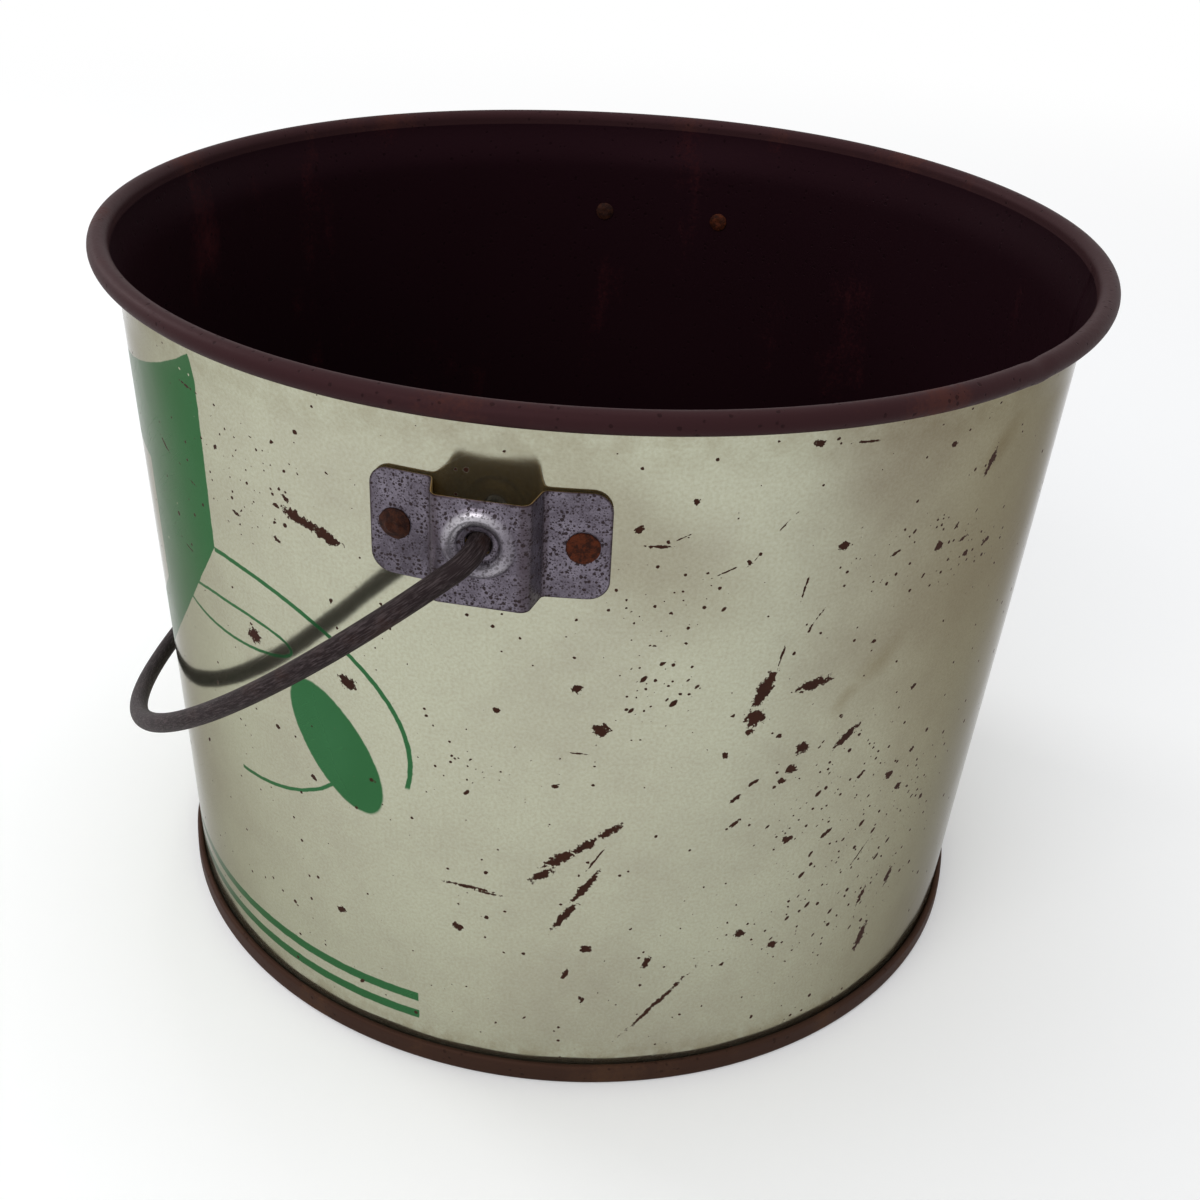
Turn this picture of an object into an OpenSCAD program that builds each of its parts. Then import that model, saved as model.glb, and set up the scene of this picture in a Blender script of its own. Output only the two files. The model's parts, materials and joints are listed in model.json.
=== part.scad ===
// Tinplate pail with a hinged wire bail. Millimetres, +Z up.
// The origin is the centre of the base, on the body's axis. The printed front
// faces -X, the ears sit on -Y (right) and +Y (left), the side seam is at +X,
// and the bail hangs down the front, resting on the wall.

/* [Body] */
// Outside diameter of the curled rim
rim_d = 272.6; // [262:0.2:300]
// Overall height, from the foot to the top of the curl
body_h = 198.5; // [190:0.5:240]
// Outside diameter of the wall just above the bottom seam
base_d = 237.8; // [200:0.2:246]
// Thickness of the tinplate
sheet_t = 0.5; // [0.35:0.05:0.6]
// Diameter of the hollow curl round the rim
curl_d = 5.4; // [4.4:0.1:7]
// Angle left open between the curl's free edge and the wall
curl_gap = 35; // [20:1:60]
// Height of the flare under the curl
flare_h = 9; // [6:0.5:14]
// How far the flare leads the wall outwards
flare_out = 2.3; // [1:0.1:3]

/* [Side seam] */
// Direction of the side seam round the axis, 0 is +X
side_seam_az = 2; // [-20:1:20]
// Width of the side seam
side_seam_w = 6; // [4:0.5:9]

/* [Bottom] */
// Height of the double seam that joins the bottom to the body
seam_h = 5.8; // [5:0.1:8]
// Gap between neighbouring layers of a folded seam
fold_gap = 0.12; // [0.08:0.01:0.15]
// Height of the floor's underside above the foot
floor_z = 4.6; // [3.5:0.1:7]
// Corner radius of the foot, on the sheet's middle
foot_r = 0.7; // [0.5:0.05:0.9]
// Bend radius between the floor and its upright edge, on the sheet's middle
floor_bend_r = 1; // [0.6:0.1:2]

/* [Ears] */
// Depth of the middle of the ears below the top of the rim
ear_drop = 33.8; // [30:0.2:60]
// Thickness of an ear
ear_t = 0.9; // [0.7:0.05:1.2]
// Straight width of a tab, from the bridge's flat face to the end of the ear
tab_w = 17.7; // [16:0.1:24]
// Gap between an ear's tabs and the wall
ear_gap = 0.1; // [0.05:0.05:0.2]
// Corner radius of the tabs
tab_r = 4.6; // [2:0.2:6]
// Height of an ear beyond its raised ring, above and below together
ear_margin = 9.4; // [7:0.2:16]
// Height of the bridge's outer face above the wall
bridge_out = 8; // [7:0.1:10]
// Slope of the bridge's sides
bridge_draft = 12; // [0:1:20]
// Bend radius of the bridge, on the sheet's middle
bridge_bend_r = 1.8; // [1:0.1:2.2]
// Flat metal left beside the raised ring, before the bridge bends
ring_edge = 0.4; // [0.2:0.1:2]
// Width of the raised ring round the bail hole
ring_w = 4; // [3:0.1:5]
// Width of the sunk seat between the bail hole and the raised ring
seat_w = 1.4; // [1:0.1:2.5]

/* [Rivets] */
// Straight distance from the end of an ear to the middle of its rivet
rivet_edge = 6; // [5:0.1:7]
// Shank diameter
rivet_d = 3.2; // [2.5:0.1:4]
// Head diameter, on the ear
rivet_head_d = 7.4; // [6:0.1:8]
// Head height
rivet_head_h = 1.5; // [1:0.1:2.2]
// Diameter of the tail upset inside the body
rivet_tail_d = 6; // [5:0.1:7]
// Height of the tail
rivet_tail_h = 1.2; // [0.8:0.1:1.6]
// Clearance round the shank and under the head and the tail
rivet_gap = 0.05; // [0.02:0.01:0.08]

/* [Bail] */
// Diameter of the wire
wire_d = 4.9; // [4:0.1:5.2]
// Height of the pivot above the middle of the ears
pivot_lift = 2.3; // [0:0.1:3]
// Clearance round the wire in its hole
pivot_gap = 0.45; // [0.3:0.05:0.6]
// Clearance beside the ears, past which the bail swings
bail_side = 1.5; // [0.8:0.1:5]
// Clearance beside the rim, past which the bail swings
rim_side = 0.5; // [0.3:0.1:5]
// How steeply the bail's legs lean in between the pivot and the rim
side_lean = 8.3; // [6:0.1:20]
// How far the crown reaches past the rim, measured from the pivot to the wire's middle
crown_over = 26.6; // [18:0.2:45]
// How far the crown is bent over towards the right ear
bail_shift = 9; // [0:0.5:10]
// How much smaller the crown's radius is than half the width of the bail
crown_tuck = 13.5; // [8:0.5:20]
// Half of the crown's arc
crown_half = 43; // [38:1:48]
// Bend radius at each end, on the wire's middle
hook_r = 5; // [4:0.5:6]
// How far the upset button inside each ear stands out round the wire
button_lip = 1.65; // [1:0.05:2.5]
// Thickness of the button
button_t = 1.8; // [1:0.1:2.5]
// Gap between the button and the wall
button_gap = 2.2; // [1.5:0.1:3]
// Gap between the wall and the bail resting on it
rest_gap = 0.3; // [0.2:0.05:0.6]

/* [Hidden] */
$fn = 144;
RIGHT = -1;             // sign of Y on the right side
LEFT = 1;               // sign of Y on the left side
FRONT = -1;             // sign of X on the printed front
BACK = 1;               // sign of X on the seamed back
small_fn = 48;          // facets of small round features
lap = 0.02;             // how far joined strips of sheet run into each other
knuckle = 0.04;         // swelling of the wire where two of its bends meet

// Layers of the double seam, by the radius of each sheet's middle, from inside
layer = sheet_t + fold_gap;
base_r = base_d / 2;
body_wall_r = base_r - sheet_t / 2;
floor_wall_r = body_wall_r - layer;
floor_hook_r = body_wall_r + layer;
body_hook_r = floor_hook_r + layer;
seam_skin_r = body_hook_r + layer;

// Curl and wall, by the outside of the sheet
curl_r = rim_d / 2 - curl_d / 2;
curl_z = body_h - curl_d / 2;
lip_r = rim_d / 2 - curl_d + sheet_t;
flare_top_z = curl_z - curl_d / 2;
flare_z = flare_top_z - flare_h;
flare_r = lip_r - flare_out;
taper_z = seam_h + 1;   // the wall stands upright below this height
taper_slope = (flare_r - base_r) / (flare_z - taper_z);
taper_deg = atan(taper_slope);

// Body hook inside the double seam
body_turn_z = sheet_t + fold_gap + layer + sheet_t / 2;
seam_turn_z = seam_h - layer - sheet_t / 2;

// Pivot and ear; the ear's frame stands on the wall, X along it, Y outwards, Z up the slope
ear_z = body_h - ear_drop;
pivot_z = ear_z + pivot_lift;
hole_d = wire_d + 2 * pivot_gap;
ring_mid_r = hole_d / 2 + seat_w + ring_w / 2;
ring_d = 2 * ring_mid_r + ring_w;
bridge_w = ring_d + 2 * ring_edge;
ear_w = bridge_w + 2 * tab_w;
ear_h = ring_d + ear_margin;
bend_axis_r = wall_r(ear_z) / cos(taper_deg);
tab_mid_r = bend_axis_r + ear_gap + ear_t / 2;
bridge_mid = bridge_out - ear_t / 2;
pivot_up = (pivot_lift + bridge_out * sin(taper_deg)) / cos(taper_deg);
rivet_deg = asin((ear_w / 2 - rivet_edge) / wall_r(ear_z));
tab_deg = asin(ear_w / 2 / bend_axis_r) + 1;   // the tabs are trimmed to ear_w
ring_top_r = wall_r(pivot_z) + (bridge_mid + ring_w / 2) / cos(taper_deg);

// Bail, in its own plane: X is Y of the pail, Y is the distance from the pivot axis
bail_half_w = max(ring_top_r + hook_r + bail_side,
    rim_d / 2 + wire_d / 2 + (body_h - pivot_z) * tan(side_lean) + rim_side);
bail_reach = norm([rim_d / 2, body_h - pivot_z]) + crown_over;
crown_r = bail_half_w - crown_tuck;
crown_c = [-bail_shift, bail_reach - crown_r];
button_y = wall_r(pivot_z) + button_gap;
button_d = wire_d + 2 * button_lip;

// Outside radius of the tapered wall at height z
function wall_r(z) = base_r + taper_slope * (z - taper_z);

// Unit vector in direction a
function dir(a) = [cos(a), sin(a)];

// Direction of vector v, from -90 to 270 degrees
function heading(v) = let(a = atan2(v.y, v.x)) a < -90 ? a + 360 : a;

// Where the crown's arc meets a side arc
function crown_end(sy) = crown_c + crown_r * [sy * sin(crown_half), cos(crown_half)];

// Radius of the side arc that leaves the crown smoothly and meets the pivot axis at bail_half_w
function side_arc_r(sy) =
    let(reach = [sy * bail_half_w, 0] - crown_end(sy))
    (reach * reach) / (2 * (reach * -[sy * sin(crown_half), cos(crown_half)]));

// Centre of the side arc
function side_arc_c(sy) = crown_end(sy) - side_arc_r(sy) * [sy * sin(crown_half), cos(crown_half)];

// Centre of the bend that leads a side arc onto the pivot axis
function hook_c(sy) =
    let(c = side_arc_c(sy), r = side_arc_r(sy) - hook_r)
    [c.x + sy * sqrt(r * r - pow(hook_r - c.y, 2)), hook_r];

// Direction of the point where a side arc meets its bend
function hook_heading(sy) = heading(hook_c(sy) - side_arc_c(sy));

// Points along the crown and the left side arc, where the bail can meet the wall
bail_points = concat(
    [for (a = [90 - crown_half:1:90 + crown_half]) crown_c + crown_r * dir(a)],
    [for (a = [hook_heading(LEFT):2:90 - crown_half]) side_arc_c(LEFT) + side_arc_r(LEFT) * dir(a)]);

// Clear distance between the wire and the wall with the bail lowered by angle a
function clear_at(a) = min([for (p = bail_points)
    norm([p.x, p.y * cos(a)]) - wall_r(pivot_z - p.y * sin(a)) - wire_d / 2]);

// Angle below level at which the bail comes to rest, found by halving the range
function rest_angle(low, high, steps) =
    let(mid = (low + high) / 2)
    steps == 0 ? mid
    : clear_at(mid) > rest_gap ? rest_angle(mid, high, steps - 1)
    : rest_angle(low, mid, steps - 1);

bail_down = rest_angle(5, 75, 24);

// Flat strip of sheet between two points, running on a little past both
module sheet_line(p, q, t) {
    along = (q - p) / norm(q - p);
    side = t / 2 * [-along.y, along.x];
    a = p - lap * along;
    b = q + lap * along;
    polygon([a + side, a - side, b - side, b + side]);
}

// Bent strip of sheet: an arc of mid radius r about c, from angle a0 to a1, at most a half turn
module sheet_bend(c, r, a0, a1, t) {
    far = 3 * (r + t);
    translate(c) intersection() {
        difference() {
            circle(r + t / 2);
            circle(r - t / 2);
        }
        polygon([[0, 0], far * dir(a0), far * dir((2 * a0 + a1) / 3), far * dir((a0 + 2 * a1) / 3), far * dir(a1)]);
    }
}

// Rectangle with round corners, centred
module round_rect(w, h, r) {
    square([w - 2 * r, h], center = true);
    square([w, h - 2 * r], center = true);
    for (x = [-1, 1], y = [-1, 1])
        translate([x * (w / 2 - r), y * (h / 2 - r)]) circle(r);
}

// Section of the body: hook, wall, flare and curl
module body_profile() {
    wall = [[base_r, body_turn_z - lap], [base_r, taper_z], [flare_r, flare_z],
        [lip_r, flare_top_z], [lip_r, curl_z]];
    polygon(concat(wall, [for (i = [len(wall) - 1:-1:0]) wall[i] - [sheet_t, 0]]));
    sheet_bend([floor_hook_r, body_turn_z], layer, 180, 360, sheet_t, $fn = small_fn);
    sheet_line([body_hook_r, body_turn_z], [body_hook_r, seam_turn_z], sheet_t);
    translate([curl_r, curl_z]) difference() {
        circle(curl_d / 2, $fn = small_fn);
        circle(curl_d / 2 - sheet_t, $fn = small_fn);
        polygon([[0, 0], curl_d * dir(180), curl_d * dir(180 + curl_gap)]);
    }
}

// Section of the bottom: floor, upright edge, foot, outer skin and hook
module bottom_profile() {
    floor_mid = floor_z + sheet_t / 2;
    foot_mid = sheet_t / 2;
    inner = floor_wall_r + foot_r;
    outer = seam_skin_r - foot_r;
    sheet_line([lap, floor_mid], [floor_wall_r - floor_bend_r, floor_mid], sheet_t);
    sheet_bend([floor_wall_r - floor_bend_r, floor_mid - floor_bend_r], floor_bend_r, 0, 90, sheet_t,
        $fn = small_fn);
    sheet_line([floor_wall_r, floor_mid - floor_bend_r], [floor_wall_r, foot_mid + foot_r], sheet_t);
    sheet_bend([inner, foot_mid + foot_r], foot_r, 180, 270, sheet_t, $fn = small_fn);
    sheet_line([inner, foot_mid], [outer, foot_mid], sheet_t);
    sheet_bend([outer, foot_mid + foot_r], foot_r, 270, 360, sheet_t, $fn = small_fn);
    sheet_line([seam_skin_r, foot_mid + foot_r], [seam_skin_r, seam_turn_z], sheet_t);
    sheet_bend([body_hook_r, seam_turn_z], layer, 0, 180, sheet_t, $fn = small_fn);
    sheet_line([floor_hook_r, seam_turn_z], [floor_hook_r, body_turn_z], sheet_t);
}

// Places children on the outside of the wall at height ear_z, with Z along the outward normal
module at_rivet(sy, sx) {
    rotate([0, 0, sy * 90 - sy * sx * rivet_deg])
        translate([wall_r(ear_z), 0, ear_z])
            rotate([0, 90 + taper_deg, 0]) children();
}

// Places children on the wall at an ear, with Y along the outward normal
module at_ear(sy) {
    rotate([0, 0, sy == LEFT ? 0 : 180])
        translate([0, wall_r(ear_z), ear_z])
            rotate([-taper_deg, 0, 0]) children();
}

// Holes for the rivets of one ear
module rivet_holes(sy) {
    for (sx = [FRONT, BACK])
        at_rivet(sy, sx) translate([0, 0, -3])
            cylinder(d = rivet_d + 2 * rivet_gap, h = 6, $fn = small_fn);
}

// Raised strip of the folded side seam
module side_seam() {
    turn = asin(side_seam_w / base_d);
    inside = sheet_t / 2;
    low = taper_z + layer;
    high = flare_z - layer;
    rotate([0, 0, side_seam_az - turn]) rotate_extrude(angle = 2 * turn)
        polygon([[wall_r(low) - inside, low], [wall_r(low) + layer, low],
            [wall_r(high) + layer, high], [wall_r(high) - inside, high]]);
}

module body() color([0.70, 0.70, 0.60]) difference() {
    union() {
        rotate_extrude() body_profile();
        side_seam();
    }
    rivet_holes(RIGHT);
    rivet_holes(LEFT);
}

module bottom() color([0.36, 0.30, 0.26]) rotate_extrude() bottom_profile();

// Plan of an ear: flat bridge, sloping sides and tabs curved to the wall
module ear_plan() {
    bend_c = [bridge_w / 2, bridge_mid - bridge_bend_r];
    start = bend_c + [0, bend_axis_r] + 2 * bridge_bend_r * dir(bridge_draft);
    down = [sin(bridge_draft), -cos(bridge_draft)];
    run = -(start * down) - sqrt(pow(start * down, 2) - start * start
        + pow(tab_mid_r + bridge_bend_r, 2));
    foot_c = start - [0, bend_axis_r] + run * down;
    foot_heading = heading(-foot_c - [0, bend_axis_r]);
    sheet_line([-bridge_w / 2, bridge_mid], [bridge_w / 2, bridge_mid], ear_t);
    for (sx = [0, 1]) mirror([sx, 0]) {
        sheet_bend(bend_c, bridge_bend_r, bridge_draft, 90, ear_t, $fn = small_fn);
        sheet_line(bend_c + bridge_bend_r * dir(bridge_draft),
            foot_c - bridge_bend_r * dir(bridge_draft), ear_t);
        sheet_bend(foot_c, bridge_bend_r, 180 + bridge_draft, foot_heading, ear_t, $fn = small_fn);
        sheet_bend([0, -bend_axis_r], tab_mid_r, 90 - tab_deg, foot_heading - 180 + lap, ear_t);
    }
}

// One ear: a bent strip with rounded tabs and a raised ring round the bail hole
module ear(sy) color([0.42, 0.39, 0.43]) difference() {
    at_ear(sy) {
        difference() {
            intersection() {
                linear_extrude(ear_h, center = true) ear_plan();
                rotate([-90, 0, 0]) translate([0, 0, -ear_h]) linear_extrude(2 * ear_h)
                    round_rect(ear_w, ear_h, tab_r, $fn = small_fn);
            }
            at_ring() rotate_extrude() translate([ring_mid_r, 0])
                square([ring_w - 2 * ear_t, 2 * ear_t], center = true);
        }
        at_ring() rotate_extrude() translate([ring_mid_r, 0])
            sheet_bend([0, 0], (ring_w - ear_t) / 2, 0, 180 - 0.001, ear_t, $fn = small_fn);
    }
    pivot_hole();
    rivet_holes(sy);
}

// Places children on the bridge's middle at the pivot, with Z along the outward normal
module at_ring() {
    translate([0, bridge_mid, pivot_up]) rotate([-90, 0, 0]) children();
}

// Bore for the bail, right across the pail on the pivot axis
module pivot_hole() {
    translate([0, 0, pivot_z]) rotate([90, 0, 0])
        cylinder(d = hole_d, h = 2 * bail_half_w, center = true, $fn = small_fn);
}

module right_ear() ear(RIGHT);

module left_ear() ear(LEFT);

// Rivet with a low domed head on the ear and an upset tail inside the body
module rivet(sy, sx) color([0.33, 0.16, 0.10]) at_rivet(sy, sx) {
    seat = ear_gap + ear_t + rivet_gap;
    inner = -(sheet_t + rivet_gap);
    translate([0, 0, inner]) cylinder(d = rivet_d, h = seat - inner, $fn = small_fn);
    translate([0, 0, seat]) low_dome(rivet_head_d, rivet_head_h);
    translate([0, 0, inner]) mirror([0, 0, 1]) low_dome(rivet_tail_d, rivet_tail_h);
}

// Low dome of diameter d and height h, standing on a short upright edge
module low_dome(d, h) {
    edge = h / 4;
    rise = h - edge;
    ball = (d * d / 4 + rise * rise) / (2 * rise);
    rotate_extrude($fn = small_fn) intersection() {
        translate([0, h - ball]) circle(ball);
        square([d / 2, h]);
    }
}

module right_ear_front_rivet() rivet(RIGHT, FRONT);

module right_ear_back_rivet() rivet(RIGHT, BACK);

module left_ear_front_rivet() rivet(LEFT, FRONT);

module left_ear_back_rivet() rivet(LEFT, BACK);

// Wire bent to an arc of radius r about c, from angle a0 to a1, stopping a little short of both
module wire_arc(c, r, a0, a1) {
    less = knuckle / r * 180 / PI;
    translate([c.x, c.y, 0]) rotate([0, 0, a0 + less])
        rotate_extrude(angle = a1 - a0 - 2 * less) translate([r, 0]) circle(d = wire_d, $fn = small_fn);
}

// Faint ring round the wire at p, where one bend passes into the next, its axis in direction a
module wire_knuckle(p, a) {
    translate([p.x, p.y, 0]) rotate([0, 0, a]) rotate([0, 90, 0])
        cylinder(d = wire_d + knuckle, h = 6 * knuckle, center = true, $fn = small_fn);
}

// Straight end of the bail on the pivot axis, with its upset button inside the ear
module wire_end(sy) {
    tip = sy * hook_c(sy).x;
    rotate([0, 0, sy == LEFT ? 0 : 180]) rotate([0, 90, 0]) {
        translate([0, 0, button_y]) cylinder(d = wire_d, h = tip - knuckle - button_y, $fn = small_fn);
        translate([0, 0, button_y]) cylinder(d = button_d, h = button_t, $fn = small_fn);
    }
}

module bail() color([0.22, 0.18, 0.18])
translate([0, 0, pivot_z]) rotate([0, -bail_down, 0]) rotate([0, 0, 90]) {
    wire_arc(crown_c, crown_r, 90 - crown_half, 90 + crown_half);
    wire_arc(side_arc_c(LEFT), side_arc_r(LEFT), hook_heading(LEFT), 90 - crown_half);
    wire_arc(side_arc_c(RIGHT), side_arc_r(RIGHT), 90 + crown_half, hook_heading(RIGHT));
    wire_arc(hook_c(LEFT), hook_r, -90, hook_heading(LEFT));
    wire_arc(hook_c(RIGHT), hook_r, hook_heading(RIGHT), 270);
    for (sy = [LEFT, RIGHT]) {
        wire_knuckle(crown_end(sy), -sy * crown_half);
        wire_knuckle(hook_c(sy) + hook_r * dir(hook_heading(sy)), hook_heading(sy) + 90);
        wire_knuckle([hook_c(sy).x, 0], 0);
    }
    wire_end(LEFT);
    wire_end(RIGHT);
}

body();
bottom();
right_ear();
left_ear();
right_ear_front_rivet();
right_ear_back_rivet();
left_ear_front_rivet();
left_ear_back_rivet();
bail();
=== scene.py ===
"""Looks of a rusty lithographed tinplate pail with a wire bail.

Everything is in metres, +Z up, with the origin at the centre of the base. The printed front faces -X,
the right ear is at -Y, the left ear at +Y and the side seam at +X. Shader patterns on the wall are laid
out in millimetres along and up the wall, as a sheet that was printed flat before it was rolled.
"""
import json
import logging
import math
from dataclasses import dataclass, field
from enum import Enum

import bpy
import numpy as np
from mathutils import Matrix, Vector


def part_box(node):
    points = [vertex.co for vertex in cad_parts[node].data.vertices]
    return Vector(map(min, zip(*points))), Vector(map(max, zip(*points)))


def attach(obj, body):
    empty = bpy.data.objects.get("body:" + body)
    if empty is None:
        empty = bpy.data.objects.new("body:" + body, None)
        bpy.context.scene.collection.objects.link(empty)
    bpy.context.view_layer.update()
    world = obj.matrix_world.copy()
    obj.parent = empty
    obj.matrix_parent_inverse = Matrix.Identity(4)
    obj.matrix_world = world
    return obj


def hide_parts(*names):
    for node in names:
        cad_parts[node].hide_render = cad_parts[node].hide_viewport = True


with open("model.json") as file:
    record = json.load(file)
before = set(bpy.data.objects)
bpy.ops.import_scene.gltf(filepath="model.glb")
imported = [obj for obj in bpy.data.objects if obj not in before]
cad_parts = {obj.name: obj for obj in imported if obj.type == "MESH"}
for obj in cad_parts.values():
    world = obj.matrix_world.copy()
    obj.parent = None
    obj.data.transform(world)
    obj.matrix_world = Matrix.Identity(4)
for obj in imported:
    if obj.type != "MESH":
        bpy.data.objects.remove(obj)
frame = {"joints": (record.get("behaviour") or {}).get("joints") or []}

Rgb = tuple[float, float, float]

MM = 0.001
WHITE: Rgb = (1.0, 1.0, 1.0)
MEAN_RADIUS = 124.0 * MM  # at which the wall's sheet is laid out flat
PIVOT_LIFT = 2.3 * MM  # from the middle of an ear up to the bail's pivot
LOG = logging.getLogger("pail")


class Side(Enum):
    """The two ears, by the sign of Y."""

    RIGHT = -1
    LEFT = 1


class End(Enum):
    """The two ends of an ear, by the sign of X."""

    FRONT = -1
    BACK = 1


class Head(Enum):
    """What the outer end of a rivet looks like."""

    DIMPLED = "dimpled"
    FLAT = "flat"


class Kind(Enum):
    """What a shader makes, by the type of its last node."""

    MATERIAL = "ShaderNodeOutputMaterial"
    WORLD = "ShaderNodeOutputWorld"


# ---------------------------------------------------------------------------------------------
# Curves and grids
# ---------------------------------------------------------------------------------------------


def straight(start: tuple[float, float], end: tuple[float, float], count: int) -> np.ndarray:
    """Points at even steps along a straight line.

    Args:
        start: First point.
        end: Last point.
        count: Number of points, both ends included.

    Returns:
        Array of shape (count, 2).
    """
    share = np.linspace(0.0, 1.0, count)[:, None]
    return np.array(start) + share * (np.array(end) - np.array(start))


def arc(centre: tuple[float, float], radius: float, first: float, last: float, count: int) -> np.ndarray:
    """Points at even steps along a circle's arc.

    Args:
        centre: Centre of the circle.
        radius: Its radius.
        first: Direction of the first point, in degrees.
        last: Direction of the last point, in degrees.
        count: Number of points, both ends included.

    Returns:
        Array of shape (count, 2).
    """
    angle = np.radians(np.linspace(first, last, count))
    return np.array(centre) + radius * np.stack([np.cos(angle), np.sin(angle)], 1)


def chain(*stretches: np.ndarray) -> np.ndarray:
    """One open line from stretches that follow each other, with each shared point kept once."""
    line = np.vstack(stretches)
    step = np.linalg.norm(np.diff(line, axis=0), axis=1)
    return line[np.concatenate([[True], step > 1e-9])]


def left_normals(line: np.ndarray) -> np.ndarray:
    """Unit normals on the left of an open line, from the central differences of its points."""
    along = np.gradient(line, axis=0)
    along /= np.linalg.norm(along, axis=1)[:, None]
    return np.stack([-along[:, 1], along[:, 0]], 1)


def smooth(low: float, high: float, value: np.ndarray) -> np.ndarray:
    """The cubic 3t^2 - 2t^3 step, from 0 at low to 1 at high."""
    t = np.clip((value - low) / (high - low), 0.0, 1.0)
    return t * t * (3.0 - 2.0 * t)


def spin(radius: np.ndarray, height: np.ndarray, angle: np.ndarray) -> np.ndarray:
    """Points (radius cos angle, radius sin angle, height), with the arrays broadcast together."""
    return np.stack(np.broadcast_arrays(radius * np.cos(angle), radius * np.sin(angle), height), -1)


def turns(count: int) -> np.ndarray:
    """Directions at even steps round a full turn, in radians, the last one a step short of the first."""
    return np.linspace(0.0, 2 * math.pi, count, endpoint=False)


def lengths(line: np.ndarray) -> np.ndarray:
    """Distance of each point of a line from its first, along the line."""
    return np.concatenate([[0.0], np.cumsum(np.linalg.norm(np.diff(line, axis=0), axis=1))])


def bell(offset: np.ndarray) -> np.ndarray:
    """The bell curve exp(-offset^2), 1 in its middle."""
    return np.exp(-(offset**2))


@dataclass
class Grid:
    """A sheet of points that becomes one closed mesh.

    Attributes:
        points: Array of shape (rows, columns, 3). Columns always close into a ring.
        loop_rows: Whether the last row joins the first, as on a torus. Otherwise each end gets a cap.
        row_material: Material slot of the faces after each row, or nothing for slot 0 everywhere.
        uv: Array of shape (rows, columns, 2), or nothing.
        values: Named numbers for each point, each of shape (rows, columns).
    """

    points: np.ndarray
    loop_rows: bool
    row_material: np.ndarray | None = None
    uv: np.ndarray | None = None
    values: dict[str, np.ndarray] = field(default_factory=dict)

    def build(self, name: str) -> bpy.types.Object:
        """Makes the mesh object: point (r, c) is vertex r * columns + c, and each face joins it to the next
        row and the next column. A cap is a fan of triangles round the mean of its row.

        Args:
            name: Name of the piece.

        Returns:
            The object, at the origin, with smooth shading and outward faces.
        """
        rows, columns = self.points.shape[:2]
        span = rows if self.loop_rows else rows - 1
        r, c = np.meshgrid(np.arange(span), np.arange(columns), indexing="ij")
        below, above = r * columns, (r + 1) % rows * columns
        right = (c + 1) % columns
        quads = np.stack([below + c, below + right, above + right, above + c], -1).reshape(-1, 4)
        vertices = self.points.reshape(-1, 3)
        fans = np.zeros((0, 3), int)
        if not self.loop_rows:
            ring = np.arange(columns)
            after = (ring + 1) % columns
            last = (rows - 1) * columns
            first_hub, last_hub = len(vertices), len(vertices) + 1
            vertices = np.vstack([vertices, self.points[0].mean(0), self.points[-1].mean(0)])
            low_fan = np.stack([after, ring, np.full(columns, first_hub)], 1)
            high_fan = np.stack([last + ring, last + after, np.full(columns, last_hub)], 1)
            fans = np.vstack([low_fan, high_fan])
        mesh = bpy.data.meshes.new(name)
        mesh.vertices.add(len(vertices))
        mesh.vertices.foreach_set("co", vertices.astype(np.float32).ravel())
        corners = np.concatenate([quads.ravel(), fans.ravel()])
        mesh.loops.add(len(corners))
        mesh.loops.foreach_set("vertex_index", corners.astype(np.int32))
        starts = np.concatenate([np.arange(len(quads)) * 4, len(quads) * 4 + np.arange(len(fans)) * 3])
        mesh.polygons.add(len(starts))
        mesh.polygons.foreach_set("loop_start", starts.astype(np.int32))
        mesh.polygons.foreach_set("use_smooth", np.ones(len(starts), bool))
        if self.row_material is not None:
            slots = np.concatenate([np.repeat(self.row_material[:span], columns), np.zeros(len(fans), int)])
            mesh.polygons.foreach_set("material_index", slots.astype(np.int32))
        mesh.update(calc_edges=True)
        if self.uv is not None:
            self._unwrap(mesh, corners, len(quads), columns)
        for key, grid in self.values.items():
            flat = np.concatenate([grid.ravel(), np.zeros(len(vertices) - grid.size)]).astype(np.float32)
            mesh.attributes.new(key, "FLOAT", "POINT").data.foreach_set("value", flat)
        mesh.validate()
        piece = bpy.data.objects.new(name, mesh)
        bpy.context.scene.collection.objects.link(piece)
        face_outwards(piece)
        return piece

    def _unwrap(self, mesh: bpy.types.Mesh, corners: np.ndarray, quads: int, columns: int) -> None:
        """Writes the UV map. The last face of each row gets a full turn more, so that u doesn't jump back."""
        flat = np.vstack([self.uv.reshape(-1, 2), self.uv[0].mean(0), self.uv[-1].mean(0)])
        pairs = flat[corners]
        wrapped = (np.arange(quads) % columns) == columns - 1
        pairs[: quads * 4].reshape(quads, 4, 2)[wrapped, 1:3, 0] += 1.0
        mesh.uv_layers.new(name="wrap").data.foreach_set("uv", pairs.astype(np.float32).ravel())


def face_outwards(piece: bpy.types.Object) -> None:
    """Turns the whole mesh over if the volume it encloses comes out negative.

    The volume is the sum over triangles of the triple product of their corners, divided by six.
    """
    mesh = piece.data
    mesh.calc_loop_triangles()
    corners = np.zeros(len(mesh.loop_triangles) * 3, np.int32)
    mesh.loop_triangles.foreach_get("vertices", corners)
    points = np.zeros(len(mesh.vertices) * 3, np.float32)
    mesh.vertices.foreach_get("co", points)
    a, b, c = points.reshape(-1, 3)[corners.reshape(-1, 3)].astype(float).transpose(1, 0, 2)
    if np.einsum("ij,ij->i", a, np.cross(b, c)).sum() < 0:
        mesh.flip_normals()


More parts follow.
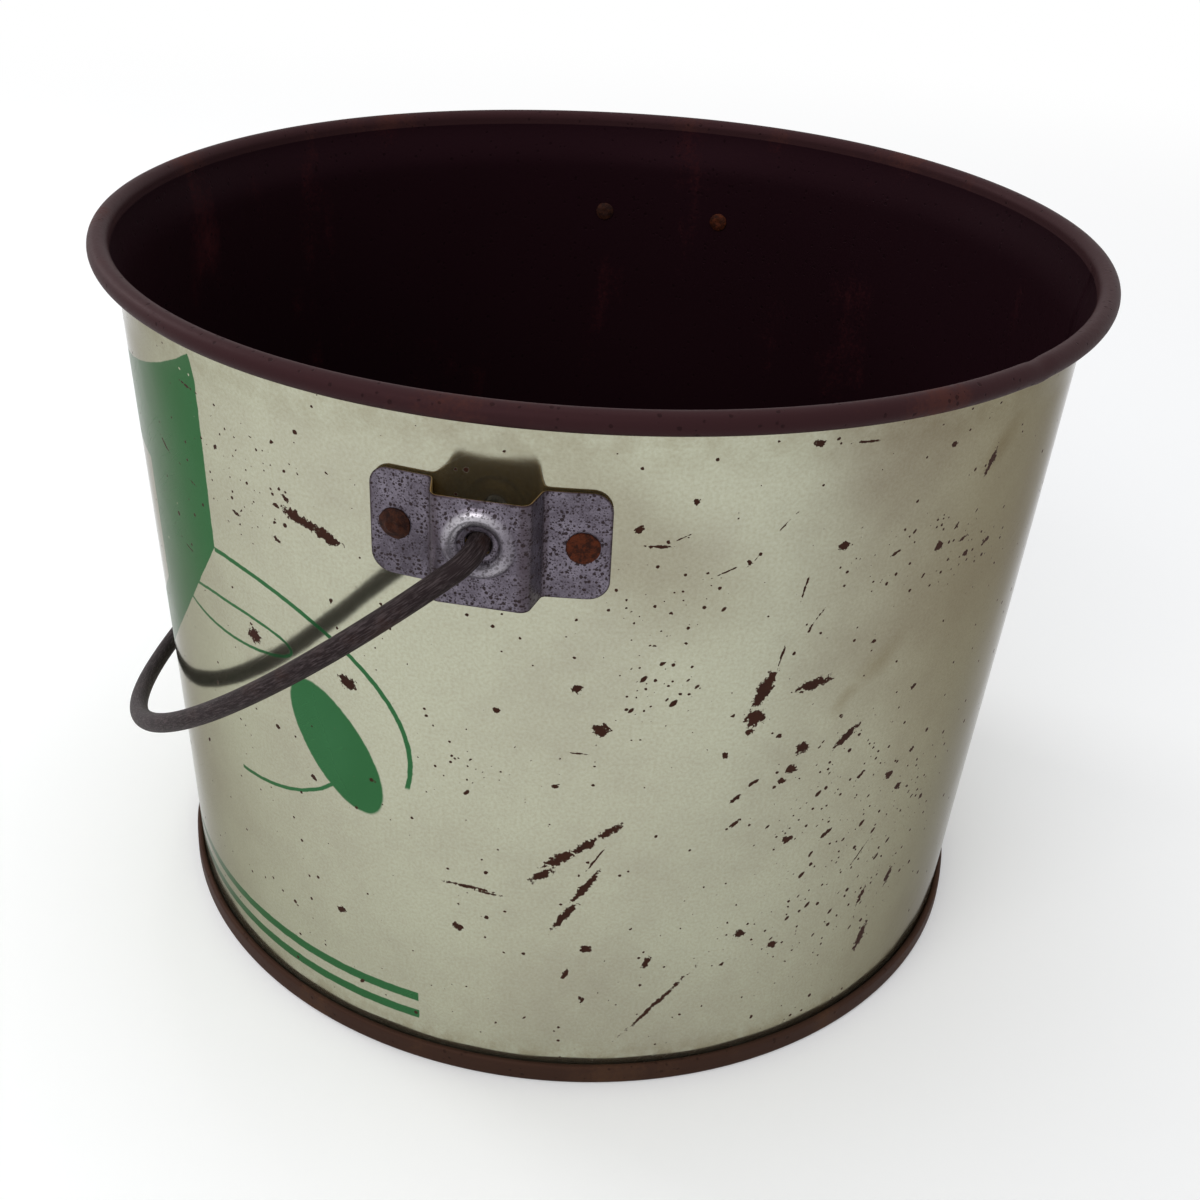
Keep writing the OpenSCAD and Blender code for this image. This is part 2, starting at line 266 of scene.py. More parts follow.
def sheet_ring(mid: np.ndarray, thickness: float) -> tuple[np.ndarray, int]:
    """Closed outline of a bent sheet, from the line along its middle.

    The left side is the line moved half the thickness along its left normals. The right side is the same
    to the right, in reverse, and a half circle of three points rounds each end.

    Args:
        mid: Line along the middle of the sheet, shape (n, 2).
        thickness: Thickness of the sheet.

    Returns:
        The outline, and how many of its first points lie on the left side.
    """
    normals = left_normals(mid)
    half = thickness / 2
    left, right = mid + half * normals, mid - half * normals

    def nose(at: int, forward: float) -> np.ndarray:
        """Three points of the half circle round one end of the sheet."""
        along = np.array([normals[at, 1], -normals[at, 0]]) * forward
        turn = np.radians([45.0, 90.0, 135.0])[:, None]
        return mid[at] + half * (np.cos(turn) * normals[at] * forward + np.sin(turn) * along)

    return np.vstack([left, nose(-1, 1.0), right[::-1], nose(0, -1.0)]), len(left)


# ---------------------------------------------------------------------------------------------
# Shader maths
# ---------------------------------------------------------------------------------------------


class Value:
    """A number that varies over a surface. Arithmetic on it adds Math nodes."""

    def __init__(self, shader: "Shader", socket: bpy.types.NodeSocket) -> None:
        """Wraps one output socket of a shader's tree."""
        self.shader = shader
        self.socket = socket

    def __add__(self, other: "Value | float") -> "Value":
        """self + other."""
        return self.shader.math("ADD", self, other)

    def __radd__(self, other: float) -> "Value":
        """other + self."""
        return self.shader.math("ADD", other, self)

    def __sub__(self, other: "Value | float") -> "Value":
        """self - other."""
        return self.shader.math("SUBTRACT", self, other)

    def __rsub__(self, other: float) -> "Value":
        """other - self."""
        return self.shader.math("SUBTRACT", other, self)

    def __mul__(self, other: "Value | float") -> "Value":
        """self * other."""
        return self.shader.math("MULTIPLY", self, other)

    def __rmul__(self, other: float) -> "Value":
        """other * self."""
        return self.shader.math("MULTIPLY", other, self)

    def __truediv__(self, other: "Value | float") -> "Value":
        """self / other."""
        return self.shader.math("DIVIDE", self, other)

    def __pow__(self, other: "Value | float") -> "Value":
        """self to the power other."""
        return self.shader.math("POWER", self, other)

    def __abs__(self) -> "Value":
        """The size of self, without its sign."""
        return self.shader.math("ABSOLUTE", self)

    def least(self, other: "Value | float") -> "Value":
        """The smaller of two values."""
        return self.shader.math("MINIMUM", self, other)

    def most(self, other: "Value | float") -> "Value":
        """The larger of two values."""
        return self.shader.math("MAXIMUM", self, other)

    def clamp(self) -> "Value":
        """self, held between 0 and 1."""
        return self.most(0.0).least(1.0)

    def step(self, low: float, high: float) -> "Value":
        """A soft step from 0 at low to 1 at high. low may be above high, which turns the step round."""
        if low > high:
            return 1.0 - self.step(high, low)
        node = self.shader.node(
            "ShaderNodeMapRange",
            {"interpolation_type": "SMOOTHSTEP"},
            {"Value": self, "From Min": low, "From Max": high},
        )
        return Value(self.shader, node.outputs["Result"])


@dataclass(frozen=True)
class Gloss:
    """Constants of a surface, set on the shader's own sockets.

    Attributes:
        specular: Specular level.
        tint: Colour of what a metal mirrors along its outline.
    """

    specular: float
    tint: Rgb = (1.0, 1.0, 1.0)


class Shader:
    """A material or a world, and the nodes that make it."""

    def __init__(self, name: str, kind: Kind = Kind.MATERIAL) -> None:
        """Starts an empty material or world."""
        store = bpy.data.materials if kind is Kind.MATERIAL else bpy.data.worlds
        self.kind = kind
        self.owner = store.new(name)
        self.owner.use_nodes = True
        self.tree = self.owner.node_tree
        self.tree.nodes.clear()

    def node(self, kind: str, settings: dict, inputs: dict) -> bpy.types.Node:
        """Adds one node.

        Args:
            kind: Node type.
            settings: Properties, set first.
            inputs: Value or link of each input socket, by its name or number.

        Returns:
            The new node.
        """
        made = self.tree.nodes.new(kind)
        for key, setting in settings.items():
            setattr(made, key, setting)
        for key, given in inputs.items():
            socket = made.inputs[key]
            if isinstance(given, Value):
                self.tree.links.new(given.socket, socket)
            elif isinstance(given, bpy.types.NodeSocket):
                self.tree.links.new(given, socket)
            elif isinstance(given, tuple) and socket.type == "RGBA":
                socket.default_value = (*given, 1.0)
            else:
                socket.default_value = given
        return made

    def math(self, operation: str, *values: Value | float) -> Value:
        """One Math node with up to three values."""
        inputs = dict(enumerate(values))
        return Value(self, self.node("ShaderNodeMath", {"operation": operation}, inputs).outputs[0])

    def vector_math(self, operation: str, inputs: dict) -> bpy.types.NodeSocket:
        """One Vector Math node that gives a vector."""
        return self.node("ShaderNodeVectorMath", {"operation": operation}, inputs).outputs["Vector"]

    def scaled(self, vector: bpy.types.NodeSocket, factor: float) -> bpy.types.NodeSocket:
        """A vector times a number."""
        return self.vector_math("SCALE", {0: vector, "Scale": factor})

    def distance(self, place: bpy.types.NodeSocket, middle: tuple[float, float, float]) -> Value:
        """Distance from the middle to a place."""
        node = self.node("ShaderNodeVectorMath", {"operation": "DISTANCE"}, {0: place, 1: middle})
        return Value(self, node.outputs["Value"])

    def split(self, vector: bpy.types.NodeSocket) -> tuple[Value, Value, Value]:
        """The three parts of a vector."""
        node = self.node("ShaderNodeSeparateXYZ", {}, {0: vector})
        return tuple(Value(self, out) for out in node.outputs)

    def joined(self, x: Value | float, y: Value | float, z: Value | float) -> bpy.types.NodeSocket:
        """A vector from its three parts."""
        return self.node("ShaderNodeCombineXYZ", {}, {0: x, 1: y, 2: z}).outputs[0]

    def millimetres(self) -> bpy.types.NodeSocket:
        """The place on the piece, in millimetres."""
        place = self.node("ShaderNodeTexCoord", {}, {}).outputs["Object"]
        return self.scaled(place, 1.0 / MM)

    def stretched(self, vector: bpy.types.NodeSocket, size: tuple[float, float, float],
                  turn: float = 0.0) -> bpy.types.NodeSocket:
        """A vector turned about Z by minus turn degrees, then divided by size part by part."""
        node = self.node(
            "ShaderNodeMapping",
            {"vector_type": "TEXTURE"},
            {"Vector": vector, "Rotation": (0.0, 0.0, math.radians(turn)), "Scale": size},
        )
        return node.outputs[0]

    def noise(self, vector: bpy.types.NodeSocket, size: float, detail: float = 3.0, roughness: float = 0.5,
              flat: bool = False) -> Value:
        """Noise about 0.5 with lumps size millimetres across. flat leaves out the vector's third part."""
        return Value(self, self._noise(vector, size, detail, roughness, flat).outputs["Fac"])

    def _noise(self, vector: bpy.types.NodeSocket, size: float, detail: float, roughness: float,
               flat: bool) -> bpy.types.Node:
        """The noise node behind noise() and warped()."""
        return self.node(
            "ShaderNodeTexNoise",
            {"noise_dimensions": "2D" if flat else "3D"},
            {"Vector": vector, "Scale": 1.0 / size, "Detail": detail, "Roughness": roughness},
        )

    def warped(self, vector: bpy.types.NodeSocket, size: float, amount: float,
               detail: float = 2.0) -> bpy.types.NodeSocket:
        """A vector shifted by up to about amount, by noise of the given size."""
        shift = self._noise(vector, size, detail, 0.6, False).outputs["Color"]
        centred = self.vector_math("SUBTRACT", {0: shift, 1: (0.5, 0.5, 0.5)})
        return self.vector_math("ADD", {0: vector, 1: self.scaled(centred, 2.0 * amount)})

    def attribute(self, name: str) -> Value:
        """A number that the piece's mesh carries."""
        return Value(self, self.node("ShaderNodeAttribute", {"attribute_name": name}, {}).outputs["Fac"])

    def specks(self, vector: bpy.types.NodeSocket, size: float, share: Value | float, reach: float,
               flat: bool = True) -> Value:
        """Round specks, scattered one to a cell.

        Each cell draws two numbers c and w from 0 to 1. It has a speck where c < share, and the speck's
        radius is (0.25 + 0.75 w^2) reach.

        Args:
            vector: Place on the surface.
            size: Width of the cells, in millimetres.
            share: Share of the cells that have a speck.
            reach: Radius of the largest specks, in cell sizes.
            flat: Whether the vector's third part is left out.

        Returns:
            1 in the specks and 0 between them, with a soft edge.
        """
        cells = self.node(
            "ShaderNodeTexVoronoi",
            {"voronoi_dimensions": "2D" if flat else "3D", "feature": "F1"},
            {"Vector": vector, "Scale": 1.0 / size, "Randomness": 1.0},
        )
        draws = self.node("ShaderNodeSeparateColor", {"mode": "RGB"}, {0: cells.outputs["Color"]})
        chance, width = Value(self, draws.outputs[0]), Value(self, draws.outputs[1])
        radius = (0.25 + 0.75 * width * width) * reach
        inside = (radius - Value(self, cells.outputs["Distance"])).step(0.0, 0.25 * reach)
        return self.math("LESS_THAN", chance, share) * inside

    def mix(self, factor: Value | float, a: object, b: object, blend: str = "MIX") -> bpy.types.NodeSocket:
        """Two colours mixed, a at factor 0 and b at factor 1."""
        settings = {"data_type": "RGBA", "blend_type": blend}
        return self.node("ShaderNodeMix", settings, {0: factor, 6: a, 7: b}).outputs[2]

    def bump(self, height: Value, depth: float) -> bpy.types.NodeSocket:
        """A bumped normal. height is in units of depth, which is in millimetres."""
        inputs = {"Height": height, "Distance": depth * MM, "Strength": 1.0}
        return self.node("ShaderNodeBump", {}, inputs).outputs[0]

    def mix_shaders(self, factor: Value, a: bpy.types.NodeSocket,
                    b: bpy.types.NodeSocket) -> bpy.types.NodeSocket:
        """Two shaders mixed, a at factor 0 and b at factor 1."""
        return self.node("ShaderNodeMixShader", {}, {0: factor, 1: a, 2: b}).outputs[0]

    def seen(self) -> Value:
        """1 to the camera, in reflections and through glass, and 0 where it only gives light."""
        path = self.node("ShaderNodeLightPath", {}, {})
        rays = [Value(self, path.outputs[f"Is {ray} Ray"]) for ray in ("Camera", "Glossy", "Transmission")]
        return rays[0].most(rays[1]).most(rays[2])

    def end(self, surface: bpy.types.NodeSocket) -> bpy.types.Material | bpy.types.World:
        """Makes the shader the surface of the material or world, and returns that."""
        self.node(self.kind.value, {}, {"Surface": surface})
        return self.owner

    def finish(self, colour: object, roughness: Value, metallic: Value | float, normal: bpy.types.NodeSocket,
               gloss: Gloss) -> bpy.types.Material:
        """Ends the material in one Principled shader.

        Args:
            colour: Base colour.
            roughness: Roughness.
            metallic: How metallic it is.
            normal: Bumped normal.
            gloss: Constants.

        Returns:
            The material.
        """
        inputs = {
            "Base Color": colour,
            "Roughness": roughness,
            "Metallic": metallic,
            "Normal": normal,
            "Specular IOR Level": gloss.specular,
            "Specular Tint": gloss.tint,
        }
        return self.end(self.node("ShaderNodeBsdfPrincipled", {}, inputs).outputs[0])


# ---------------------------------------------------------------------------------------------
# Finishes
# ---------------------------------------------------------------------------------------------


@dataclass(frozen=True)
class Marks:
    """Marks on the wall that share a lean and a shape, each a ragged ellipse.

    Attributes:
        lean: Lean of their long side above level, in degrees.
        slim: How many times longer than wide they are.
        spots: Middle and length of each mark: millimetres along the wall from the middle of the front towards
            the right ear, millimetres above the foot, and the length in millimetres.
    """

    lean: float
    slim: float
    spots: tuple[tuple[float, float, float], ...]


# Chips down to the steel.
CHIPS = (
    Marks(0.0, 1.2, (
        (131, 119, 6), (160, 117, 5.5), (215, 127, 3.6), (221, 116, 4.8), (211, 99, 2.4), (197, 119, 2),
        (257, 117, 7), (256, 113, 2.8), (251, 107, 2.4), (264, 110, 1.8), (271, 105, 4.8), (269, 99, 3.8),
        (267, 96, 2.4), (303, 86, 4), (308, 80, 3), (310, 91, 2.4), (304, 113, 2.6), (286, 132, 1.8),
        (281, 112, 1.8), (261, 188, 3), (298, 181, 2.6), (237, 176, 2.4), (250, 160, 2), (226, 169, 2.8),
        (273, 40, 3.6), (262, 47, 4), (188, 50, 4), (221, 47, 3.6), (153, 42, 3.4), (136, 94, 2.4),
        (147, 83, 2.2), (272, 161, 3.4), (301, 154, 3.2), (313, 148, 2.8), (272, 76, 3.4),
    )),
    Marks(-16.0, 2.4, (
        (148, 158.4, 8.5), (152, 157.3, 8), (157, 155.6, 9), (142, 150, 3.4), (129, 152, 3.2),
        (146, 162, 3.4), (143, 159, 3),
    )),
    Marks(10.0, 3.3, ((271, 124, 11.5), (322, 148, 5), (310, 153, 4), (287, 156, 4))),
    Marks(37.0, 2.9, (
        (284, 105, 10), (209, 71, 9), (213, 76.5, 11), (219, 81, 9), (225, 86, 8), (259, 97, 4.5),
        (255, 93, 4.5), (256, 85, 4), (284, 74, 5), (292, 90, 4.5),
    )),
    Marks(58.0, 6.5, ((220, 68, 15), (215, 58, 15))),
    Marks(70.0, 3.0, (
        (258, 125, 13), (237, 42, 6), (303, 45, 7), (307, 28, 11), (314, 46, 8), (216, 38, 5), (221, 29, 4),
        (314, 172, 8),
    )),
)
# Long thin scratches.
SCRATCHES = (
    Marks(-2.0, 9.0, ((191, 64, 16), (196, 63, 10), (216, 109, 6), (230, 165, 9), (273, 187, 9))),
    Marks(22.0, 11.0, ((235, 167, 6), (245, 158, 7))),
    Marks(50.0, 19.0, ((241, 27, 34), (298, 62, 13), (257, 169, 10), (251, 161, 6))),
    Marks(-8.0, 9.0, ((115, 179.6, 9), (112, 153, 7), (104.5, 132, 7), (105.5, 156, 4))),
    Marks(-30.0, 9.0, ((98, 157.5, 9.5),)),
    Marks(62.0, 13.0, ((222, 77, 11), (268, 142, 12))),
    Marks(82.0, 13.0, ((261, 134, 11), (264, 152, 10), (204, 92, 8))),
)
# Old tan stains, one broad patch of painted shade, the places where fine specks crowd, and the printed leaf.
STAINS = (Marks(40.0, 2.2, ((281, 117, 15), (289, 125, 20), (318, 176, 22))),)
SHADES = (Marks(-35.0, 2.2, ((222, 165, 100),)),)
CROWDS = (
    Marks(0.0, 1.2, (
        (233, 150, 34), (234, 127, 30), (135, 163, 44), (262, 45, 26), (272, 76, 30), (190, 100, 26),
    )),
    Marks(-12.0, 3.0, ((303, 152, 84),)),
    Marks(50.0, 1.6, ((300, 60, 96), (285, 92, 60))),
)
LEAF = (Marks(-58.0, 2.0, ((155, 96, 40),)),)


@dataclass(frozen=True)
class LacqueredTin:
    """Tinplate under a yellowish lacquer, printed in green, chipped down to brown rust.

    Attributes:
        pale: The lacquer where it is cleanest.
        dull: The lacquer where it has greyed.
        tan: Old stains on it.
        brown_shade: Painted shade, tinted brown: what is left of the colour, part by part, on the side
            opposite the print and in one broad patch beside the right ear.
        green: The printed ink where it is darkest.
        light_green: The printed ink where it is palest.
        rust: Bare steel in chips and scratches where it is darkest.
        light_rust: Bare steel where it is palest.
    """

    pale: Rgb = (0.478, 0.484, 0.372)
    dull: Rgb = (0.385, 0.370, 0.290)
    tan: Rgb = (0.25, 0.21, 0.12)
    brown_shade: Rgb = (0.62, 0.56, 0.51)
    green: Rgb = (0.018, 0.115, 0.036)
    light_green: Rgb = (0.026, 0.135, 0.048)
    rust: Rgb = (0.026, 0.010, 0.007)
    light_rust: Rgb = (0.050, 0.018, 0.010)

    def make(self) -> bpy.types.Material:
        """Builds the material: lacquer darker and tan towards the curl and the foot, with stains and painted
        shade, the print over it, and bare steel over both.
        """
        sh = Shader("lacquered_tin")
        place = sh.millimetres()
        x, y, up = sh.split(place)
        along = sh.math("ARCTAN2", 0.0 - y, 0.0 - x) * (MEAN_RADIUS / MM)
        wall = sh.joined(along, up, 0.0)

        clouds = sh.noise(place, 42.0, 3.0, 0.5)
        mottle = sh.noise(wall, 6.0, 3.0, 0.65, flat=True)
        grain = sh.noise(wall, 0.8, 2.0, 0.6, flat=True)
        colour = sh.mix((0.8 * clouds + 0.2 * mottle).step(0.30, 0.85), self.pale, self.dull)
        colour = sh.mix((grain - 0.5) * 0.6 + 0.12, colour, self.tan)
        # Darker and tan towards the curl and towards the foot, and rougher there.
        near_curl_and_foot = (up.step(178.0, 192.0) * 0.25 + up.step(15.0, 6.0) * 0.5) * mottle.step(0.3, 0.7)
        stain = self._blots(sh, sh.warped(wall, 9.0, 2.5), STAINS).clamp()
        colour = sh.mix((near_curl_and_foot + stain * 0.45).clamp(), colour, self.tan)
        # Painted shade, tinted brown: darker towards the +X side, away from the lamps, more so higher up, and
        # in one broad patch beside the right ear.
        brown_shade = (x + 40.0 * (clouds - 0.5)).step(50.0, 106.0) * (0.45 + 0.55 * up.step(40.0, 150.0))
        shade = self._blots(sh, sh.warped(wall, 40.0, 8.0), SHADES).step(0.0, 0.8)
        colour = sh.mix(brown_shade.most(shade * 0.5), colour, self.brown_shade, "MULTIPLY")

        worn = sh.specks(sh.warped(wall, 2.0, 0.6), 4.0, 0.012, 0.15)
        ink = self._print(sh, sh.warped(wall, 3.0, 0.25)) * (1.0 - worn)
        colour = sh.mix(ink * 0.97, colour, sh.mix(clouds.step(0.35, 0.7), self.green, self.light_green))

        bare = self._bare(sh, wall)
        colour = sh.mix(bare, colour, sh.mix(mottle, self.rust, self.light_rust))

        hair = sh.noise(sh.stretched(sh.warped(wall, 30.0, 4.0), (26.0, 0.5, 1.0), 38.0), 1.0, 2.0, flat=True)
        scuffs = hair.step(0.66, 0.72) * clouds.step(0.45, 0.6)
        rough = 0.075 + 0.03 * clouds + 0.04 * mottle + 0.12 * scuffs + 0.15 * near_curl_and_foot + 0.10 * ink
        rough = rough.most(bare * 0.65)
        metal = (0.94 - 0.24 * ink) * (1.0 - bare)
        normal = sh.bump(sh.noise(place, 26.0, 1.0) + 0.03 * sh.noise(place, 3.0, 1.0), 0.25)
        return sh.finish(colour, rough, metal, normal, Gloss(specular=0.10, tint=(0.50, 0.48, 0.45)))

    def _blots(self, sh: Shader, wall: bpy.types.NodeSocket, families: tuple[Marks, ...]) -> Value:
        """The highest over all marks of 1 minus the distance from the mark's middle, in half sizes.

        Each family is laid out on the wall turned by its lean and squeezed by its slimness, which makes its
        marks round.
        """
        best = None
        for family in families:
            lean = math.radians(family.lean)
            squeezed = sh.stretched(wall, (family.slim, 1.0, 1.0), family.lean)
            for along, up, length in family.spots:
                middle = (
                    (along * math.cos(lean) + up * math.sin(lean)) / family.slim,
                    up * math.cos(lean) - along * math.sin(lean),
                    0.0,
                )
                away = sh.distance(squeezed, middle)
                near = sh.math("MULTIPLY_ADD", away, -2.0 * family.slim / length, 1.0)
                best = near if best is None else best.most(near)
        return best

    def _bare(self, sh: Shader, wall: bpy.types.NodeSocket) -> Value:
        """Where the steel is bare: the marks with ragged edges, and specks and nicks that crowd in places."""
        rag = sh.noise(wall, 1.4, 3.0, 0.7, flat=True) - 0.5
        chips = (self._blots(sh, sh.warped(wall, 3.0, 0.8, 2.0), CHIPS) + rag * 1.6).step(0.17, 0.29)
        lines = (self._blots(sh, sh.warped(wall, 9.0, 0.9, 2.0), SCRATCHES) + rag * 1.9).step(0.25, 0.45)
        crowd = self._blots(sh, wall, CROWDS).step(0.0, 0.55)
        ragged = sh.warped(wall, 0.8, 0.25)
        pins = sh.specks(ragged, 2.0, 0.03 + 0.24 * crowd, 0.27)
        dots = sh.specks(ragged, 5.0, 0.08 + 0.40 * crowd, 0.15)
        leaning = sh.stretched(ragged, (1.9, 1.0, 1.0), 50.0)
        nicks = sh.specks(leaning, 3.4, 0.01 + 0.28 * crowd, 0.22)
        return chips.most(lines).most(dots).most(pins).most(nicks)

    def _print(self, sh: Shader, wall: bpy.types.NodeSocket) -> Value:
        """The green ink: a panel over the front, outlines and a leaf beside it, and two stripes low down.

        The panel's upper and lower edges sag towards the middle of the front, by a power of the distance from
        it, and its middle is left bare. The outlines are arcs of ellipses that begin at its corner.
        """
        along, up, _ = sh.split(wall)
        across = abs(along)
        edge, half, corner = 0.35, 118.0, (118.0, 98.0)
        aside = (across / half).least(1.0)
        top, low = 167.5 + 21.5 * aside**3.0, 60.0 + 78.0 * aside**2.2
        panel = across.step(half + edge, half) * (top - up).step(0.0, edge) * (up - low).step(0.0, edge)
        window = (across - 80.0).most(up - 147.0).most(low + 18.0 - up).step(0.0, -edge)
        beside = along.step(half, half + 0.2)
        hood = self._outline(sh, along, up, corner, (58.0, 40.0), 0.5) * beside * up.step(90.0, 91.0)
        curve = self._outline(sh, along, up, corner, (42.0, 26.0), 0.4) * beside * up.step(92.0, 84.0)
        lens = self._outline(sh, along, up, (121.0, 119.5), (22.5, 5.0), 0.3)
        leaf = self._blots(sh, wall, LEAF).step(0.0, 0.05)
        stripes = abs(abs(up - 17.5) - 3.2).step(1.3 + edge, 1.3) * across.step(176.0 + edge, 176.0)
        return (panel * (1.0 - window)).most(hood).most(curve).most(lens).most(leaf).most(stripes)

    def _outline(self, sh: Shader, along: Value, up: Value, middle: tuple[float, float],
                 radii: tuple[float, float], half: float) -> Value:
        """An ellipse's outline, drawn with a line about 2 * half wide.

        The distance to the outline is taken as (q - 1) q / |g|, where q is the length of the place measured
        in radii and g is that place divided once more by the radii.
        """
        a, b = (along - middle[0]) / radii[0], (up - middle[1]) / radii[1]
        q = sh.math("SQRT", a * a + b * b)
        g = sh.math("SQRT", (a / radii[0]) ** 2.0 + (b / radii[1]) ** 2.0)
        return abs((q - 1.0) * q / g.most(0.001)).step(half + 0.3, half)


@dataclass(frozen=True)
class BrownedTin:
    """Bare tinplate gone dark brown: the inside, the rim and the seams.

    Attributes:
        name: Name of the material.
        dark: Its colour where it is darkest.
        warm: Its colour where it has rusted.
        shine: Roughness where it is smoothest.
        rusted: Share of the surface that has turned warm.
        metal: How metallic it stays.
    """

    name: str
    dark: Rgb
    warm: Rgb
    shine: float
    rusted: float
    metal: float

    def make(self) -> bpy.types.Material:
        """Builds the material: streaks that run down the wall, lumps of rust, and fine pits."""
        sh = Shader(self.name)
        place = sh.millimetres()
        streaks = sh.noise(sh.stretched(place, (1.0, 1.0, 7.0)), 14.0, 4.0)
        lumps = sh.noise(place, 45.0, 5.0, 0.6)
        grain = sh.noise(place, 1.1, 3.0, 0.7)
        pits = sh.specks(sh.warped(place, 1.0, 0.3), 1.5, 0.35, 0.45, flat=False)
        start = 0.80 - 0.5 * self.rusted
        warmth = (0.5 * streaks + 0.6 * lumps + 0.25 * (grain - 0.5)).step(start, start + 0.20)
        colour = sh.mix(warmth, self.dark, self.warm)
        colour = sh.mix(pits * 0.55, colour, tuple(0.35 * part for part in self.dark))
        rough = self.shine + 0.22 * warmth + 0.16 * (grain - 0.5) + 0.1 * pits
        normal = sh.bump(0.4 * grain - 0.7 * pits + 0.5 * streaks, 0.09)
        gloss = Gloss(specular=0.08, tint=(0.42, 0.28, 0.29))
        return sh.finish(colour, rough, self.metal - 0.25 * warmth, normal, gloss)


@dataclass(frozen=True)
class PittedSteel:
    """Dull lilac-grey steel, speckled with dark pits and rusted brown along its cut edges, with a painted
    highlight on its raised ring.

    Attributes:
        bright: The bare metal.
        grey: The metal where it has dulled.
        ring_highlight: Painted highlight on the raised ring, lightest at its upper left, a little at its
            lower right and faint over its crest.
        pit: Inside the pits.
        worn: Along cut edges and bends.
        hidden: The side towards the wall, yellow-brown with rust.
        edge_width: How far the brown creeps in from a cut edge, in millimetres.
    """

    bright: Rgb = (0.205, 0.182, 0.222)
    grey: Rgb = (0.095, 0.080, 0.10)
    ring_highlight: Rgb = (0.46, 0.44, 0.47)
    pit: Rgb = (0.020, 0.010, 0.011)
    worn: Rgb = (0.045, 0.030, 0.036)
    hidden: Rgb = (0.33, 0.195, 0.055)
    edge_width: float = 0.7

    def make(self) -> bpy.types.Material:
        """Builds the material from what the mesh carries, as Ear.build gives it."""
        sh = Shader("pitted_steel")
        place = sh.millimetres()
        names = ("from_edge", "bent", "raised", "painted_highlight", "back", "spread")
        from_edge, bent, raised, painted_highlight, back, spread = (sh.attribute(name) for name in names)
        strip = sh.joined(spread, sh.split(place)[2], 0.0)
        cloud = sh.noise(place, 5.0, 4.0, 0.6)
        grain = sh.noise(place, 0.5, 2.0, 0.6)
        ragged = sh.warped(strip, 0.6, 0.22, 3.0)
        big = sh.specks(ragged, 1.05, 0.85 * cloud.step(0.32, 0.60) + 0.15, 0.50)
        small = sh.specks(ragged, 0.58, 0.85, 0.55)
        pits = (big + small * 0.75).clamp() * (1.0 - 0.5 * raised)
        colour = sh.mix((0.8 * cloud + 0.4 * grain).step(0.4, 0.85), self.grey, self.bright)
        # Painted highlight: the raised ring is lightened at its upper left and lower right, and faintly over
        # its crest.
        colour = sh.mix(painted_highlight * 0.85 + raised * 0.15, colour, self.ring_highlight)
        worn = (from_edge + (cloud - 0.5) * 0.8).step(self.edge_width, 0.05)
        colour = sh.mix((worn * 0.85 + bent * 0.6).clamp(), colour, self.worn)
        colour = sh.mix(pits * 0.92, colour, self.pit)
        colour = sh.mix(back * 0.9, colour, self.hidden)
        rough = 0.33 - 0.10 * painted_highlight + 0.10 * grain + 0.3 * pits
        metal = (0.8 - 0.5 * pits) * (1.0 - 0.9 * back)
        normal = sh.bump(0.12 * grain - pits, 0.08)
        return sh.finish(colour, rough, metal, normal, Gloss(specular=0.3, tint=(0.7, 0.7, 0.7)))


@dataclass(frozen=True)
class RustyRivet:
    """Iron of a rivet.

    Attributes:
        name: Name of the material.
        dark: Its colour in the hollows.
        rust: Its colour on the lumps.
    """

    name: str
    dark: Rgb
    rust: Rgb

    def make(self) -> bpy.types.Material:
        """Builds the material: fine lumps of rust with a dull, grainy surface."""
        sh = Shader(self.name)
        place = sh.millimetres()
        lumps = sh.noise(place, 1.6, 4.0, 0.65)
        grain = sh.noise(place, 0.35, 2.0, 0.6)
        colour = sh.mix((lumps + 0.4 * (grain - 0.5)).step(0.35, 0.65), self.dark, self.rust)
        rough, metal = 0.55 + 0.25 * grain, 0.2 * (1.0 - lumps)
        normal = sh.bump(0.6 * lumps + 0.4 * grain, 0.22)
        return sh.finish(colour, rough, metal, normal, Gloss(specular=0.1))


@dataclass(frozen=True)
class DrawnWire:
    """Dark drawn wire, worn brighter along its ridges.

    Attributes:
        dark: The bulk of the wire.
        worn: Where the wire has worn bright.
        rust: Thin brown patches.
    """

    dark: Rgb = (0.018, 0.0125, 0.013)
    worn: Rgb = (0.062, 0.048, 0.049)
    rust: Rgb = (0.034, 0.017, 0.013)

    def make(self) -> bpy.types.Material:
        """Builds the material on the UV map: u goes once round the wire, v along it in metres.

        The streaks are noise on a cylinder of the wire's radius in millimetres, ten times as long as wide.
        """
        sh = Shader("drawn_wire")
        around, along, _ = sh.split(sh.node("ShaderNodeUVMap", {"uv_map": "wrap"}, {}).outputs[0])
        turn, radius = around * (2.0 * math.pi), Bail.wire / MM
        cylinder = (sh.math("COSINE", turn) * radius, sh.math("SINE", turn) * radius, along / (10.0 * MM))
        streaks = sh.noise(sh.joined(*cylinder), 0.30, 3.0, 0.65)
        place = sh.millimetres()
        patches = sh.noise(place, 16.0, 4.0, 0.6)
        grain = sh.noise(place, 0.5, 3.0, 0.6)
        colour = sh.mix((streaks + 0.3 * (patches - 0.5)).step(0.45, 0.68), self.dark, self.worn)
        colour = sh.mix((patches + 0.3 * (grain - 0.5)).step(0.52, 0.72) * 0.75, colour, self.rust)
        rough = 0.46 + 0.2 * (grain - 0.5) + 0.12 * (1.0 - streaks)
        gloss = Gloss(specular=0.12, tint=(0.46, 0.39, 0.40))
        return sh.finish(colour, rough, 0.25, sh.bump(streaks + 0.3 * grain, 0.18), gloss)


# ---------------------------------------------------------------------------------------------
# The pail
# ---------------------------------------------------------------------------------------------


